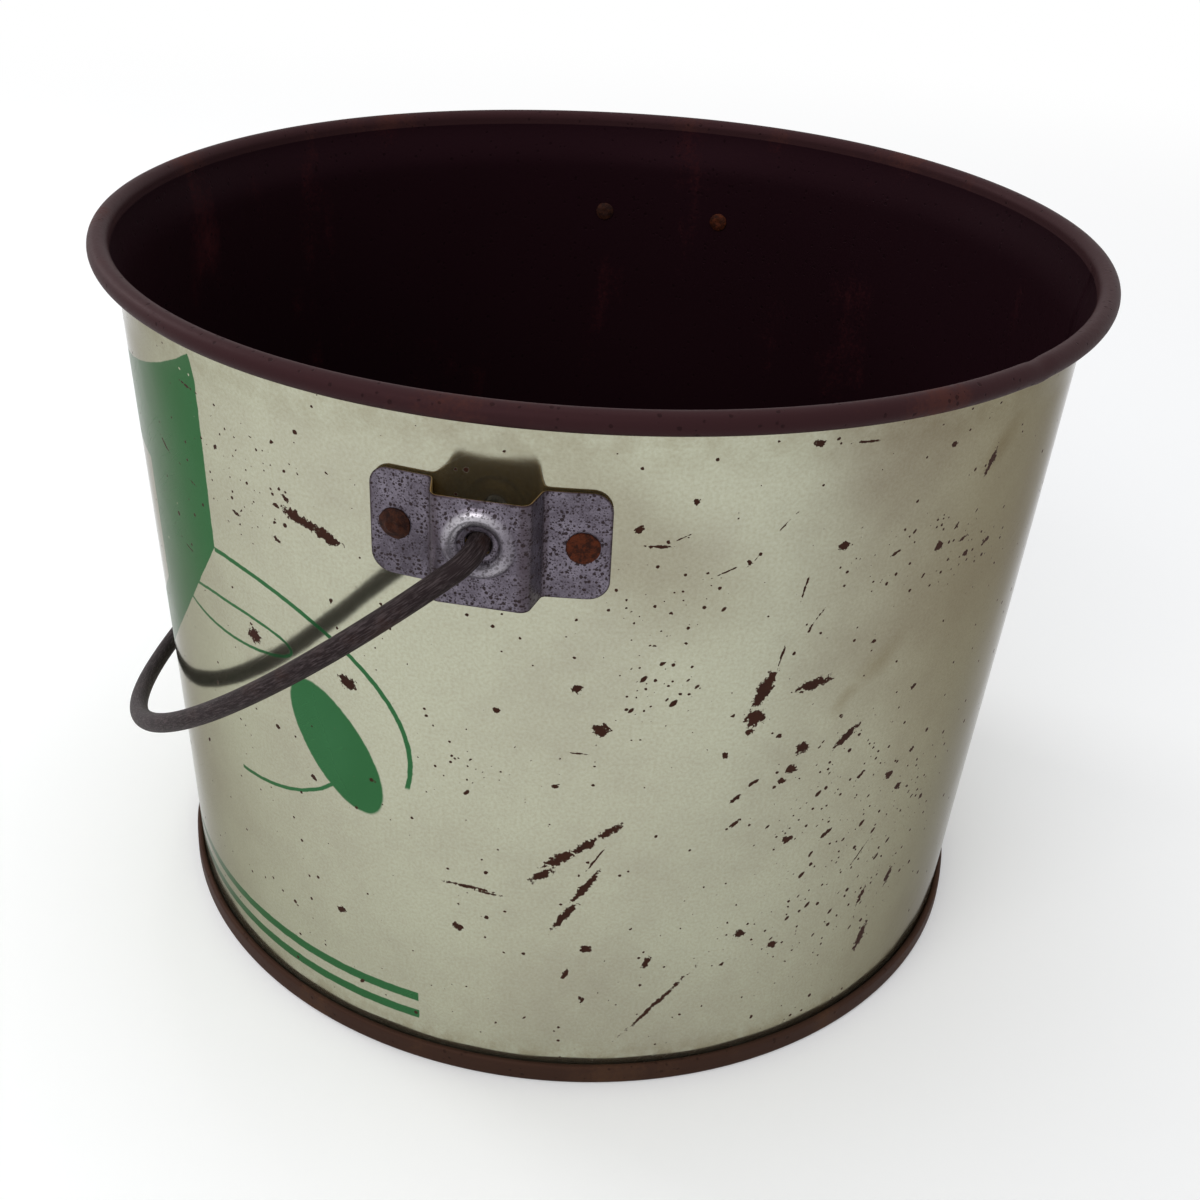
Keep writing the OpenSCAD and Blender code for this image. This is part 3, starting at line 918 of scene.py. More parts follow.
@dataclass(frozen=True)
class Dent:
    """A soft dent in the wall.

    Attributes:
        turn: Direction of its middle, in degrees from +X.
        height: Height of its middle.
        wide: Reach along the wall, at which it has fallen to a third.
        tall: Reach up the wall.
        push: How far its middle is pushed out.
    """

    turn: float
    height: float
    wide: float
    tall: float
    push: float


DENTS = (
    Dent(-52.0, 0.070, 0.030, 0.040, -0.7 * MM),
    Dent(-118.0, 0.060, 0.022, 0.030, -0.5 * MM),
    Dent(-30.0, 0.150, 0.018, 0.022, -0.6 * MM),
    Dent(60.0, 0.110, 0.030, 0.040, -0.8 * MM),
    Dent(150.0, 0.080, 0.025, 0.030, -0.7 * MM),
    Dent(25.0, 0.050, 0.020, 0.025, 0.4 * MM),
)


@dataclass
class Wall:
    """The body: a tapered wall with a flare and a curled rim at its top.

    Attributes:
        rim_radius: Outside radius of the curl.
        height: Top of the curl.
        base_radius: Outside radius just above the bottom seam.
        sheet: Thickness of the tinplate.
        curl: Outside diameter of the curl.
        curl_gap: Angle left open under the curl, in degrees.
        flare_height: Height of the flare under the curl.
        flare_out: How far the flare leads outwards.
        flare_ease: How far below the flare's foot it begins, softly.
        upright: Height below which the wall has no taper.
        foot: Lowest point of the sheet, inside the double seam.
        seam_width: Width of the side seam.
        seam_turn: Direction of the side seam round the axis, in degrees from +X.
        seam_rise: How far the side seam stands out.
        columns: Number of even steps round the wall, besides those at the side seam.
    """

    rim_radius: float
    height: float
    base_radius: float
    sheet: float = 0.5 * MM
    curl: float = 5.4 * MM
    curl_gap: float = 35.0
    flare_height: float = 9.0 * MM
    flare_out: float = 2.3 * MM
    flare_ease: float = 4.0 * MM
    upright: float = 6.8 * MM
    foot: float = 1.5 * MM
    seam_width: float = 6.0 * MM
    seam_turn: float = 2.0
    seam_rise: float = 0.55 * MM
    columns: int = 420

    def __post_init__(self) -> None:
        """Works out the curl and the flare from the rim."""
        self.curl_radius = self.rim_radius - self.curl / 2
        self.curl_height = self.height - self.curl / 2
        self.lip_radius = self.rim_radius - self.curl + self.sheet
        self.flare_top = self.curl_height - self.curl / 2
        self.flare_foot = self.flare_top - self.flare_height
        self.flare_radius = self.lip_radius - self.flare_out
        self.slope = (self.flare_radius - self.base_radius) / (self.flare_foot - self.upright)

    def radius(self, height: float | np.ndarray) -> float | np.ndarray:
        """Outside radius of the tapered wall at a height, as on the cone through its base and its flare."""
        return self.base_radius + self.slope * (height - self.upright)

    def middle(self) -> np.ndarray:
        """Line (radius, height) along the middle of the sheet, from the foot up and round the curl.

        The flare adds the cubic step of the height to the cone, and the curl is a circle that starts over the
        lip, goes over the top and ends curl_gap short of the wall.
        """
        levels = (self.foot, self.upright, 150 * MM, 177 * MM, self.curl_height)
        stretches = zip(levels, levels[1:], (2, 29, 15, 13))
        steps = [np.linspace(low, high, count, endpoint=False) for low, high, count in stretches]
        heights = np.concatenate([*steps, levels[-1:]])
        flare = smooth(self.flare_foot - self.flare_ease, self.curl_height, heights)
        cone = self.radius(np.clip(heights, self.upright, None))
        mid = cone + flare * (self.lip_radius - self.radius(self.curl_height)) - self.sheet / 2
        tube = (self.curl - self.sheet) / 2
        curl = arc((self.curl_radius, self.curl_height), tube, 180.0, self.curl_gap - 180.0, 30)
        return chain(np.stack([mid, heights], 1), curl)

    def angles(self) -> np.ndarray:
        """Directions of the columns: even steps, and closer ones at the side seam's edges."""
        middle = math.radians(self.seam_turn)
        half = self.seam_width / 2 / self.base_radius
        near = [middle + sign * half * share for sign in (-1, 1) for share in (0.80, 0.90, 1.0, 1.10)]
        return np.unique(np.concatenate([turns(self.columns), np.mod(near, 2 * math.pi)]))

    def dents(self, angle: np.ndarray, height: np.ndarray) -> np.ndarray:
        """How far the sheet is pushed out, in metres.

        It is the sum of low waves round the wall, the side seam's strip, and soft dents, each a bell curve of
        the distance from its middle. The waves and the dents fade towards the foot, the rim and the ears.
        """
        around = np.abs(np.sin(angle))
        ears = smooth(0.90, 0.97, around) * smooth(0.130, 0.145, height) * smooth(0.190, 0.180, height)
        free = smooth(0.010, 0.035, height) * smooth(0.196, 0.178, height) * (1 - ears)
        waves = 0.20 * np.sin(3 * angle + 18 * height) + 0.12 * np.sin(7 * angle - 25 * height + 1.3)
        waves = waves + 0.05 * np.sin(16 * angle + 40 * height + 0.4)
        seam_half, soft = self.seam_width / 2, 0.35 * MM
        beside = np.abs(self._off(angle, self.seam_turn)) * self.base_radius
        strip = smooth(seam_half + soft, seam_half - soft, beside)
        strip = strip * smooth(0.0065, 0.0085, height) * smooth(0.197, 0.190, height)
        shift = waves * free * MM + self.seam_rise * strip
        for dent in DENTS:
            aside = bell(self._off(angle, dent.turn) * MEAN_RADIUS / dent.wide)
            shift = shift + dent.push * aside * bell((height - dent.height) / dent.tall) * free
        return shift

    @staticmethod
    def _off(angle: np.ndarray, degrees: float) -> np.ndarray:
        """Turn from a direction given in degrees to the angles, in radians from minus to plus half a turn."""
        return np.mod(angle - math.radians(degrees) + math.pi, 2 * math.pi) - math.pi

    def rim_shift(self, angle: np.ndarray, height: np.ndarray) -> np.ndarray:
        """How far the rim is bent up or down: two low waves and one small nick, only near the curl."""
        near = smooth(0.180, 0.194, height)
        nick = bell(self._off(angle, 326.0) / 0.020)
        return near * MM * (0.25 * np.sin(2 * angle + 0.6) + 0.12 * np.sin(5 * angle + 2.0) - 0.35 * nick)

    def build(self) -> bpy.types.Object:
        """Spins the sheet's outline round the axis: (r + dents) cos a, (r + dents) sin a, z + rim_shift.

        Faces on the outside, on the inside and on the curl take the material slots 0, 1 and 2.
        """
        outline, inside = sheet_ring(self.middle(), self.sheet)
        angle = self.angles()[None, :]
        radius, height = outline[:, 0:1], outline[:, 1:2]
        points = spin(radius + self.dents(angle, height), height + self.rim_shift(angle, height), angle)
        on_curl = height[:, 0] >= self.flare_top + 0.5 * MM
        material = np.where(on_curl, 2, np.where(np.arange(len(outline)) < inside, 1, 0))
        return Grid(points, True, row_material=material).build("pail_body")


@dataclass
class Bottom:
    """The pressed bottom: raised floor, upright edge, foot and the outer skin of the double seam.

    Attributes:
        skin_radius: Outside radius of the seam.
        seam_height: Height of the seam.
        floor: Height of the floor's underside.
        sheet: Thickness of the tinplate.
        gap: Gap between the layers of the seam.
        foot_bend: Bend radius of the foot.
        floor_bend: Bend radius at the edge of the floor.
        columns: Number of steps round.
    """

    skin_radius: float
    seam_height: float
    floor: float = 4.6 * MM
    sheet: float = 0.5 * MM
    gap: float = 0.12 * MM
    foot_bend: float = 0.7 * MM
    floor_bend: float = 1.0 * MM
    columns: int = 360

    def middle(self) -> np.ndarray:
        """Line (radius, height) along the middle of the sheet, from the floor's centre to the hook's end."""
        layer = self.sheet + self.gap
        skin = self.skin_radius - self.sheet / 2
        upright = skin - 4 * layer
        floor = self.floor + self.sheet / 2
        turn = self.seam_height - self.sheet / 2 - layer
        edge, bend = self.floor_bend, self.foot_bend
        foot = self.sheet / 2 + bend
        return chain(
            straight((1 * MM, floor), (upright - edge, floor), 26),
            arc((upright - edge, floor - edge), edge, 90, 0, 6),
            straight((upright, floor - edge), (upright, foot), 3),
            arc((upright + bend, foot), bend, 180, 270, 6),
            arc((skin - bend, foot), bend, 270, 360, 6),
            straight((skin, foot), (skin, turn), 5),
            arc((skin - layer, turn), layer, 0, 180, 9),
        )

    def build(self) -> bpy.types.Object:
        """Spins the sheet: its upper side out from the axis, round the hook's end, and its underside back.

        The floor sags by a cosine bell, and the seam's skin is rolled slightly unevenly by two waves.
        """
        mid = self.middle()
        normals = left_normals(mid)
        half = self.sheet / 2
        outline = np.vstack([mid + half * normals, (mid - half * normals)[::-1]])
        angle = turns(self.columns)[None, :]
        radius, height = outline[:, 0:1], outline[:, 1:2]
        inside = self.skin_radius - 6 * MM
        sag = -0.8 * MM * np.cos(np.clip(radius / inside, 0, 1) * math.pi / 2) ** 2
        rolled = smooth(self.skin_radius - 1.6 * MM, self.skin_radius, radius)
        wave = 0.05 * MM * np.sin(31 * angle + 0.7) + 0.05 * MM * np.sin(13 * angle)
        tall = smooth(0.3 * self.seam_height, self.seam_height, height)
        points = spin(radius + rolled * tall * wave, height + sag + rolled * tall * 1.5 * wave, angle)
        return Grid(points, False).build("pail_bottom")


@dataclass
class Ear:
    """A bent steel strip with a raised ring round the bail's hole.

    Its own frame has X along the wall, Y outwards and Z up the slope, with its origin on the wall at the
    middle of the ear. The strip is worked out flat first: s is the distance along the strip from its middle.

    Attributes:
        side: Which ear it is.
        wall: The wall that it sits on.
        height: Middle of the ear above the foot.
        lift: Height of the pivot above the middle.
        strip: Width across the tabs.
        tall: Height of the strip.
        sheet: Thickness.
        gap: Gap under the tabs.
        corner: Corner radius of the tabs.
        bridge: Width of the bridge's flat face.
        out: Height of the bridge's outer face above the wall.
        draft: Slope of the bridge's sides, in degrees.
        bend: Bend radius on the sheet's middle.
        ring: Width of the raised ring.
        ring_radius: Radius of the middle of the ring.
        hole: Radius of the bail's hole.
        rays: Number of rays round the hole.
        fine: Share of each ray that has the closer steps, over the ring.
        fine_reach: How far from the hole's edge those steps reach.
        round_off: Radius of the rounded edges.
    """

    side: Side
    wall: Wall
    height: float
    lift: float
    strip: float = 52.8 * MM
    tall: float = 26.0 * MM
    sheet: float = 0.9 * MM
    gap: float = 0.1 * MM
    corner: float = 4.6 * MM
    bridge: float = 17.4 * MM
    out: float = 8.0 * MM
    draft: float = 12.0
    bend: float = 1.8 * MM
    ring: float = 4.0 * MM
    ring_radius: float = 6.3 * MM
    hole: float = 2.9 * MM
    rays: int = 288
    fine: float = 0.30
    fine_reach: float = 8.6 * MM
    round_off: float = 0.16 * MM

    def __post_init__(self) -> None:
        """Works out where the ear stands on the wall."""
        self.taper = math.atan(self.wall.slope)
        self.axis_depth = self.wall.radius(self.height) / math.cos(self.taper)
        self.pivot_up = (self.lift + self.out * math.sin(self.taper)) / math.cos(self.taper)

    def plan(self) -> tuple[np.ndarray, np.ndarray, np.ndarray]:
        """Right half of the strip's middle line, seen from above.

        It runs along the bridge, round a bend, down the sloping side, round a second bend that ends where its
        heading is the tab's, and along the tab, which is an arc about the wall's axis.

        Returns:
            Distance along the line, points (x, y), and how strongly the strip is bent there, from 0 to 1.
        """
        tab_radius = self.axis_depth + self.gap + self.sheet / 2
        bridge_mid = self.out - self.sheet / 2
        first = np.array([self.bridge / 2, bridge_mid - self.bend])
        cos, sin = math.cos(math.radians(self.draft)), math.sin(math.radians(self.draft))
        down, right = np.array([sin, -cos]), np.array([cos, sin])
        axis = np.array([0.0, self.axis_depth])
        start = first + axis + 2 * self.bend * right
        fall = start @ down
        run = -fall - math.sqrt(fall**2 - start @ start + (tab_radius + self.bend) ** 2)
        foot = start - axis + run * down
        heading = math.degrees(math.atan2(-self.axis_depth - foot[1], -foot[0])) % 360
        line = chain(
            straight((0.0, bridge_mid), (self.bridge / 2, bridge_mid), 12),
            arc(tuple(first), self.bend, 90.0, self.draft, 9),
            straight(tuple(first + self.bend * right), tuple(foot - self.bend * right), 8),
            arc(tuple(foot), self.bend, 180.0 + self.draft, heading, 9),
            arc((0.0, -self.axis_depth), tab_radius, heading - 180.0, 90.0 - 12.5, 40),
        )
        along = lengths(line)
        turned = np.unwrap(np.arctan2(*np.gradient(line, axis=0).T[::-1]))
        bent = np.clip(np.abs(np.gradient(turned, along)) * self.bend, 0.0, 1.0)
        return along, line, bent

    def build(self) -> bpy.types.Object:
        """Bends a flat grid into the ear.

        Flat, the grid runs along straight rays from the hole's edge (share 0) to the outline (share 1). The
        ring is a half circle over the distance from the hole's middle, and the strip's two faces follow it.
        Each flat point (s, z) goes to the plan's point at s, moved along the plan's normal by the height of
        its face.

        What the material reads goes into the mesh: from_edge and spread in millimetres, and from 0 to 1 how
        bent and raised the place is, how much painted highlight it takes and whether it is at the back. The
        painted highlight lies on the ring at its upper left, by a power of the cosine of the turn from there,
        and a little at its lower right.

        Returns:
            The piece, closed through the hole and round the edge.
        """
        along, line, bent = self.plan()
        reach = float(np.interp(self.strip / 2, line[:, 0], along))
        angle, fine = turns(self.rays), self.fine
        cos, sin = np.cos(angle), np.sin(angle)
        edge = self._outline(cos, sin, reach)
        share = np.concatenate([np.linspace(0.0, fine, 26)[:-1], np.linspace(fine, 1.0, 64)])[:, None]
        near = np.minimum(self.hole + np.clip(share / fine, 0, 1) * self.fine_reach, edge)
        distance = near + (edge - near) * np.clip((share - fine) / (1 - fine), 0, 1)
        s, z = distance * cos, distance * sin + self.pivot_up
        from_ring = np.abs(distance - self.ring_radius)
        outer = self.ring / 2
        dome = np.sqrt(np.clip(outer**2 - from_ring**2, 0.0, None))
        under = np.sqrt(np.clip((outer - self.sheet) ** 2 - from_ring**2, 0.0, None))
        top = self._blend_up(dome, self.sheet / 2)
        low = self._blend_up(under, -self.sheet / 2 + 0.02 * MM)
        cut = np.clip(self.round_off - np.minimum(edge - distance, distance - self.hole), 0, None)
        tuck = self.round_off - np.sqrt(np.clip(self.round_off**2 - cut**2, 0, None))
        front = self._place(s, z, top - tuck, along, line)
        back = self._place(s, z, low + tuck, along, line)
        raised = smooth(0.3 * MM, 1.6 * MM, top - self.sheet / 2)
        # Where the painted highlight lies on the ring: its upper left and, less, its lower right.
        upper_left = np.clip(np.cos(angle - math.radians(112.0)), 0, 1) ** 1.5
        lower_right = np.clip(np.cos(angle + 0.9), 0, 1) ** 6
        bent_here = np.interp(np.abs(s), along, bent)
        from_edge = np.clip(edge - distance, 0, None) / MM
        none = np.zeros_like(top)
        sides = {
            "from_edge": (from_edge, from_edge),
            "bent": (bent_here, bent_here),
            "raised": (raised, none),
            "painted_highlight": (raised * (upper_left + 0.5 * lower_right), none),
            "back": (none, none + 1),
            "spread": (s / MM, s / MM),
        }
        values = {key: np.vstack([outside, inside[::-1]]) for key, (outside, inside) in sides.items()}
        points = np.vstack([front, back[::-1]])
        return Grid(points, True, values=values).build(f"{self.side.name.lower()}_ear_strip")

    def _outline(self, cos: np.ndarray, sin: np.ndarray, reach: float) -> np.ndarray:
        """Distance along each ray from the hole's middle to the edge of a rounded rectangle.

        It is found by halving the range 40 times. A point is inside where its distance from the rectangle
        that the corners' middles make is less than the corner's radius.
        """
        low, high = np.zeros_like(cos), np.full_like(cos, 2 * reach)
        for _ in range(40):
            mid = (low + high) / 2
            dx = np.abs(mid * cos) - (reach - self.corner)
            dz = np.abs(mid * sin + self.pivot_up) - (self.tall / 2 - self.corner)
            inside = np.hypot(np.clip(dx, 0, None), np.clip(dz, 0, None)) < self.corner
            low, high = np.where(inside, mid, low), np.where(inside, high, mid)
        return low

    @staticmethod
    def _blend_up(height: np.ndarray, floor: float) -> np.ndarray:
        """The larger of height and floor, with the corner between them rounded over about a millimetre."""
        soft = 1.1 * MM
        gap = np.clip(soft - np.abs(height - floor), 0.0, None) / soft
        return np.maximum(height, floor) + gap**2 * soft / 4

    def _place(self, s: np.ndarray, z: np.ndarray, lift: np.ndarray, along: np.ndarray,
               line: np.ndarray) -> np.ndarray:
        """Bends flat points onto the plan, then leans them with the wall and moves them out to it."""
        normals = left_normals(line)
        normals[0] = (0.0, 1.0)
        table = np.hstack([line, normals])
        x, y, nx, ny = (np.interp(np.abs(s), along, column) for column in table.T)
        x, y = np.where(s < 0, -1.0, 1.0) * (x + lift * nx), y + lift * ny
        cos, sin = math.cos(self.taper), math.sin(self.taper)
        out = y * cos + z * sin + self.wall.radius(self.height)
        up = -y * sin + z * cos + self.height
        return np.stack([x, self.side.value * out, up], -1)


@dataclass
class Rivet:
    """A rivet through an ear's tab and the wall.

    Attributes:
        ear: The ear that it holds.
        end: Which end of the ear.
        head: What its head looks like.
        edge: Distance from the end of the ear to the rivet's middle.
        shank: Radius of the shank.
        head_radius: Radius of the head.
        head_height: Height of the head.
        tail_radius: Radius of the tail inside the pail.
        tail_height: Height of the tail.
        seat: Height of the head's underside above the wall.
        inner: Height of the wall's inner side, below zero.
        columns: Number of steps round.
    """

    ear: Ear
    end: End
    head: Head
    edge: float = 6.0 * MM
    shank: float = 1.6 * MM
    head_radius: float = 3.7 * MM
    head_height: float = 1.5 * MM
    tail_radius: float = 3.0 * MM
    tail_height: float = 1.2 * MM
    seat: float = 1.05 * MM
    inner: float = -0.55 * MM
    columns: int = 72

    def profile(self) -> np.ndarray:
        """Line (radius, height above the wall) from the middle of the head to the middle of the tail.

        Each dome falls towards its rim by a power of the share of its radius. A dimpled head also sinks by a
        bell curve of that share, inside a low ring. A flat head and the tail sink only a little.
        """
        share, tail_share = np.linspace(0.04, 1.0, 22), np.linspace(1.0, 0.04, 14)
        if self.head is Head.DIMPLED:
            dome = self.head_height * (1 - 0.75 * share**2.2)
            dome = dome - 0.55 * MM * bell(share / 0.20) + 0.26 * MM * bell((share - 0.42) / 0.11)
        else:
            dome = 0.62 * self.head_height * (1 - 0.45 * share**4) - 0.10 * MM * bell(share / 0.5)
        tail = self.tail_height * (1 - 0.75 * tail_share**2) - 0.35 * MM * bell(tail_share / 0.35)
        seat, inner, trim = self.seat, self.inner, 0.1 * MM
        return np.vstack(
            [
                np.stack([share * self.head_radius, seat + dome], 1),
                straight((self.head_radius, seat + trim), (self.head_radius - trim, seat), 2),
                straight((self.shank, seat), (self.shank, inner), 3),
                straight((self.tail_radius - trim, inner), (self.tail_radius, inner - trim), 2),
                np.stack([tail_share * self.tail_radius, inner - tail], 1),
            ]
        )

    def build(self) -> bpy.types.Object:
        """Spins the profile about the wall's normal at the rivet, with a slightly uneven rim."""
        turn, taper = self.ear.side.value, self.ear.taper
        at_wall = self.ear.wall.radius(self.ear.height)
        away = math.asin((self.ear.strip / 2 - self.edge) / at_wall)
        azimuth = turn * (math.pi / 2 - self.end.value * away)
        cos, sin = math.cos(azimuth), math.sin(azimuth)
        out = np.array([cos * math.cos(taper), sin * math.cos(taper), -math.sin(taper)])
        side = np.array([-sin, cos, 0.0])
        middle = np.array([at_wall * cos, at_wall * sin, self.ear.height])
        angle, profile = turns(self.columns), self.profile()
        uneven = 1 + 0.012 * np.sin(3 * angle + self.end.value) + 0.006 * np.sin(7 * angle + turn)
        radius = profile[:, 0:1] * np.where(profile[:, 0:1] > self.shank, uneven, 1.0)
        points = middle + spin(radius, profile[:, 1:2], angle) @ np.stack([side, np.cross(out, side), out])
        name = f"{self.ear.side.name.lower()}_ear_{self.end.name.lower()}_rivet_iron"
        return Grid(points, False).build(name)


@dataclass
class Bail:
    """The wire bail, resting on the front of the wall.

    Its own plane holds the pivot axis: x is the pail's Y, and y is the distance from the axis.

    Attributes:
        pivot: Height of the pivot axis.
        down: How far the bail's plane hangs below level, in degrees.
        wire: Radius of the wire.
        half_width: Distance from the pail's middle to the wire's middle at the pivot.
        reach: Distance from the pivot to the middle of the crown.
        shift: How far the crown leans towards the right ear.
        crown: Radius of the crown.
        crown_half: Half of the crown's arc, in degrees.
        hook: Bend radius at each end.
        button_at: Where the upset buttons start, from the pail's middle.
        button: Radius of the buttons.
        button_thick: Their thickness.
        columns: Number of steps round the wire.
    """

    pivot: float
    down: float
    wire: float = 2.45 * MM
    half_width: float = 144.18 * MM
    reach: float = 166.5 * MM
    shift: float = 9.0 * MM
    crown: float = 130.7 * MM
    crown_half: float = 43.0
    hook: float = 5.0 * MM
    button_at: float = 130.3 * MM
    button: float = 4.1 * MM
    button_thick: float = 1.8 * MM
    columns: int = 32

    def _half(self, sign: int) -> np.ndarray:
        """One half of the wire's middle line, from the crown's middle to the end of its hook.

        The crown's arc passes smoothly into a larger or smaller side arc, which would meet the pivot axis at
        half_width, and a bend of radius hook leads from it onto the axis. The side arc starts at the crown's
        end e, where n points out of the crown, and meets the point p at radius |p - e|^2 / (2 (p - e) . -n).
        """
        lean = math.radians(self.crown_half)
        centre = np.array([-self.shift, self.reach - self.crown])
        out = np.array([sign * math.sin(lean), math.cos(lean)])
        end = centre + self.crown * out
        reach = np.array([sign * self.half_width, 0.0]) - end
        radius = reach @ reach / (2 * (reach @ -out))
        side = end - radius * out
        aside = math.sqrt((radius - self.hook) ** 2 - (self.hook - side[1]) ** 2)
        bend = np.array([side[0] + sign * aside, self.hook])
        meet = math.degrees(math.atan2(*(bend - side)[::-1]))
        first = 90.0 - sign * self.crown_half
        last = meet if sign > 0 else meet % 360
        hook_end = -90.0 if sign > 0 else 270.0
        return chain(
            arc(tuple(centre), self.crown, 90.0, first, 70),
            arc(tuple(side), radius, first, last, 60),
            arc(tuple(bend), self.hook, last, hook_end, 14),
        )

    def build(self) -> bpy.types.Object:
        """Sweeps a circle along the wire. At each end its radius steps up to the button's.

        The circle's axes are the plane's normal and the line's left normal in the plane, so it never twists.
        The wire's radius swells and shrinks a little by two sine waves of the distance along it.
        """
        wire_line = chain(self._half(-1)[::-1], self._half(1))
        inner, outer = self.button_at, self.button_at + self.button_thick
        soft = 0.25 * MM
        ends = np.array([inner, inner + soft, outer - soft, outer, outer])
        radii = np.array([self.button - soft, self.button, self.button, self.button - soft, self.wire])
        steps = len(ends)
        tail = np.stack([ends, np.zeros(steps)], 1)
        line = np.vstack([tail * (-1, 1), wire_line, tail[::-1]])
        radius = np.concatenate([radii, np.full(len(wire_line), self.wire), radii[::-1]])
        along = lengths(line)
        normals = left_normals(line)
        normals[:steps] = normals[steps + 1]
        normals[-steps:] = normals[-steps - 2]
        worn = 0.03 * MM * np.sin(along * 55.0) + 0.02 * MM * np.sin(along * 131.0 + 1.0)
        radius = (radius + np.where(radius == self.wire, worn, 0.0))[:, None]
        angle = turns(self.columns)
        across, lift = radius * np.cos(angle), radius * np.sin(angle)
        side, away = np.moveaxis(line[:, None, :] + across[..., None] * normals[:, None, :], -1, 0)
        cos, sin = math.cos(math.radians(self.down)), math.sin(math.radians(self.down))
        points = np.stack([-away * cos - lift * sin, side, self.pivot - away * sin + lift * cos], -1)
        uv = np.stack(np.broadcast_arrays(angle[None, :] / (2 * math.pi), along[:, None]), -1)
        return Grid(points, False, uv=uv).build("bail_wire")


# ---------------------------------------------------------------------------------------------
# Studio
# ---------------------------------------------------------------------------------------------


@dataclass(frozen=True)
class Lamp:
    """A soft rectangular lamp.

    Attributes:
        name: Name of the lamp.
        place: Where it stands.
        size: Width, and also height.
        power: Power in watts.
    """

    name: str
    place: tuple[float, float, float]
    size: float
    power: float


@dataclass
class Studio:
    """Camera, lamps, floor and background.

    Attributes:
        eye: Place of the camera.
        azimuth: Direction that the camera looks along, in degrees from +Y towards -X.
        pitch: How far it looks down, in degrees.
        roll: How far it is turned clockwise about its own axis, in degrees.
        lens: Focal length for a sensor 36 mm wide.
        shift: Lens shift, as a share of the sensor.
        lamps: The lamps.
        aim: What they point at.
        sky_colour: Colour of the even light from all round.
        sky_light: Strength of that light.
        floor_half: Half the floor's width.
        floor_colour: Colour of the floor.
        floor_glow: How much white the floor gives off where it is seen.
        fade: Distances in millimetres between which the seen floor fades to white.
    """

    eye: tuple[float, float, float] = (0.0675, -0.4121, 0.3177)
    azimuth: float = 10.39
    pitch: float = 27.76
    roll: float = 2.76
    lens: float = 46.6
    shift: tuple[float, float] = (0.0342, -0.0486)
    lamps: tuple[Lamp, ...] = (
        Lamp("key", (-0.55, -1.5, 1.3), 1.2, 14.0),
        Lamp("side", (-1.5, 0.5, 1.0), 0.5, 7.0),
        Lamp("top", (0.0, 0.2, 1.9), 1.2, 8.0),
    )
    aim: tuple[float, float, float] = (0.0, 0.0, 0.1)
    sky_colour: Rgb = (0.95, 0.97, 1.0)
    sky_light: float = 0.52
    floor_half: float = 6.0
    floor_colour: Rgb = (0.86, 0.86, 0.86)
    floor_glow: float = 0.18
    fade: tuple[float, float] = (350.0, 1400.0)

    def build(self) -> None:
        """Makes everything that isn't part of the pail."""
        self._camera()
        for lamp in self.lamps:
            self._lamp(lamp)
        self._floor()
        self._world()
        bpy.context.scene.view_settings.view_transform = "Standard"

    def _camera(self) -> None:
        """The camera: turned about Z, tipped down, then rolled about its own axis."""
        data = bpy.data.cameras.new("camera")
        data.sensor_width = 36.0
        data.lens = self.lens
        data.shift_x, data.shift_y = self.shift
        data.clip_start, data.clip_end = 0.01, 50.0
        camera = bpy.data.objects.new("camera", data)
        bpy.context.scene.collection.objects.link(camera)
        turn = Matrix.Rotation(math.radians(self.azimuth), 4, "Z")
        tip = Matrix.Rotation(math.radians(90.0 - self.pitch), 4, "X")
        roll = Matrix.Rotation(math.radians(self.roll), 4, "Z")
        camera.matrix_world = Matrix.Translation(self.eye) @ turn @ tip @ roll
        bpy.context.scene.camera = camera

    def _lamp(self, lamp: Lamp) -> None:
        """One area lamp, pointed at the aim."""
        data = bpy.data.lights.new(lamp.name, "AREA")
        data.shape = "RECTANGLE"
        data.size = data.size_y = lamp.size
        data.energy = lamp.power
        made = bpy.data.objects.new(lamp.name, data)
        bpy.context.scene.collection.objects.link(made)
        made.location = lamp.place
        towards = Vector(self.aim) - Vector(lamp.place)
        made.rotation_euler = towards.to_track_quat("-Z", "Y").to_euler()

    def _floor(self) -> None:
        """A wide pale floor at the foot, as one quad, a little under the pail."""
        drop = -0.02 * MM
        mesh = bpy.data.meshes.new("floor")
        signs = ((-1, -1), (1, -1), (1, 1), (-1, 1))
        corners = [(x * self.floor_half, y * self.floor_half, drop) for x, y in signs]
        mesh.from_pydata(corners, [], [(0, 1, 2, 3)])
        floor = bpy.data.objects.new("floor", mesh)
        bpy.context.scene.collection.objects.link(floor)
        mesh.materials.append(self._floor_finish())

    def _floor_finish(self) -> bpy.types.Material:
        """A pale surface. Where it is seen, it glows faintly near the pail and fades to white far from it."""
        sh = Shader("pale_floor")
        surface, faint, white = (
            sh.node(kind, {}, inputs).outputs[0]
            for kind, inputs in (
                ("ShaderNodeBsdfPrincipled", {"Base Color": self.floor_colour, "Roughness": 0.9}),
                ("ShaderNodeEmission", {"Color": WHITE, "Strength": self.floor_glow}),
                ("ShaderNodeEmission", {"Color": WHITE, "Strength": 1.0}),
            )
        )
        lit = sh.node("ShaderNodeAddShader", {}, {0: surface, 1: faint}).outputs[0]
        far = sh.distance(sh.millimetres(), (0.0, 0.0, 0.0)).step(*self.fade)
        return sh.end(sh.mix_shaders(sh.seen(), surface, sh.mix_shaders(far, lit, white)))

    def _world(self) -> None:
        """White to the camera, in reflections and through glass, and a softer even light on the rest."""
        sh = Shader("studio", Kind.WORLD)
        plain, bright = (
            sh.node("ShaderNodeBackground", {}, {"Color": colour, "Strength": strength}).outputs[0]
            for colour, strength in ((self.sky_colour, self.sky_light), (WHITE, 1.0))
        )
        bpy.context.scene.world = sh.end(sh.mix_shaders(sh.seen(), plain, bright))


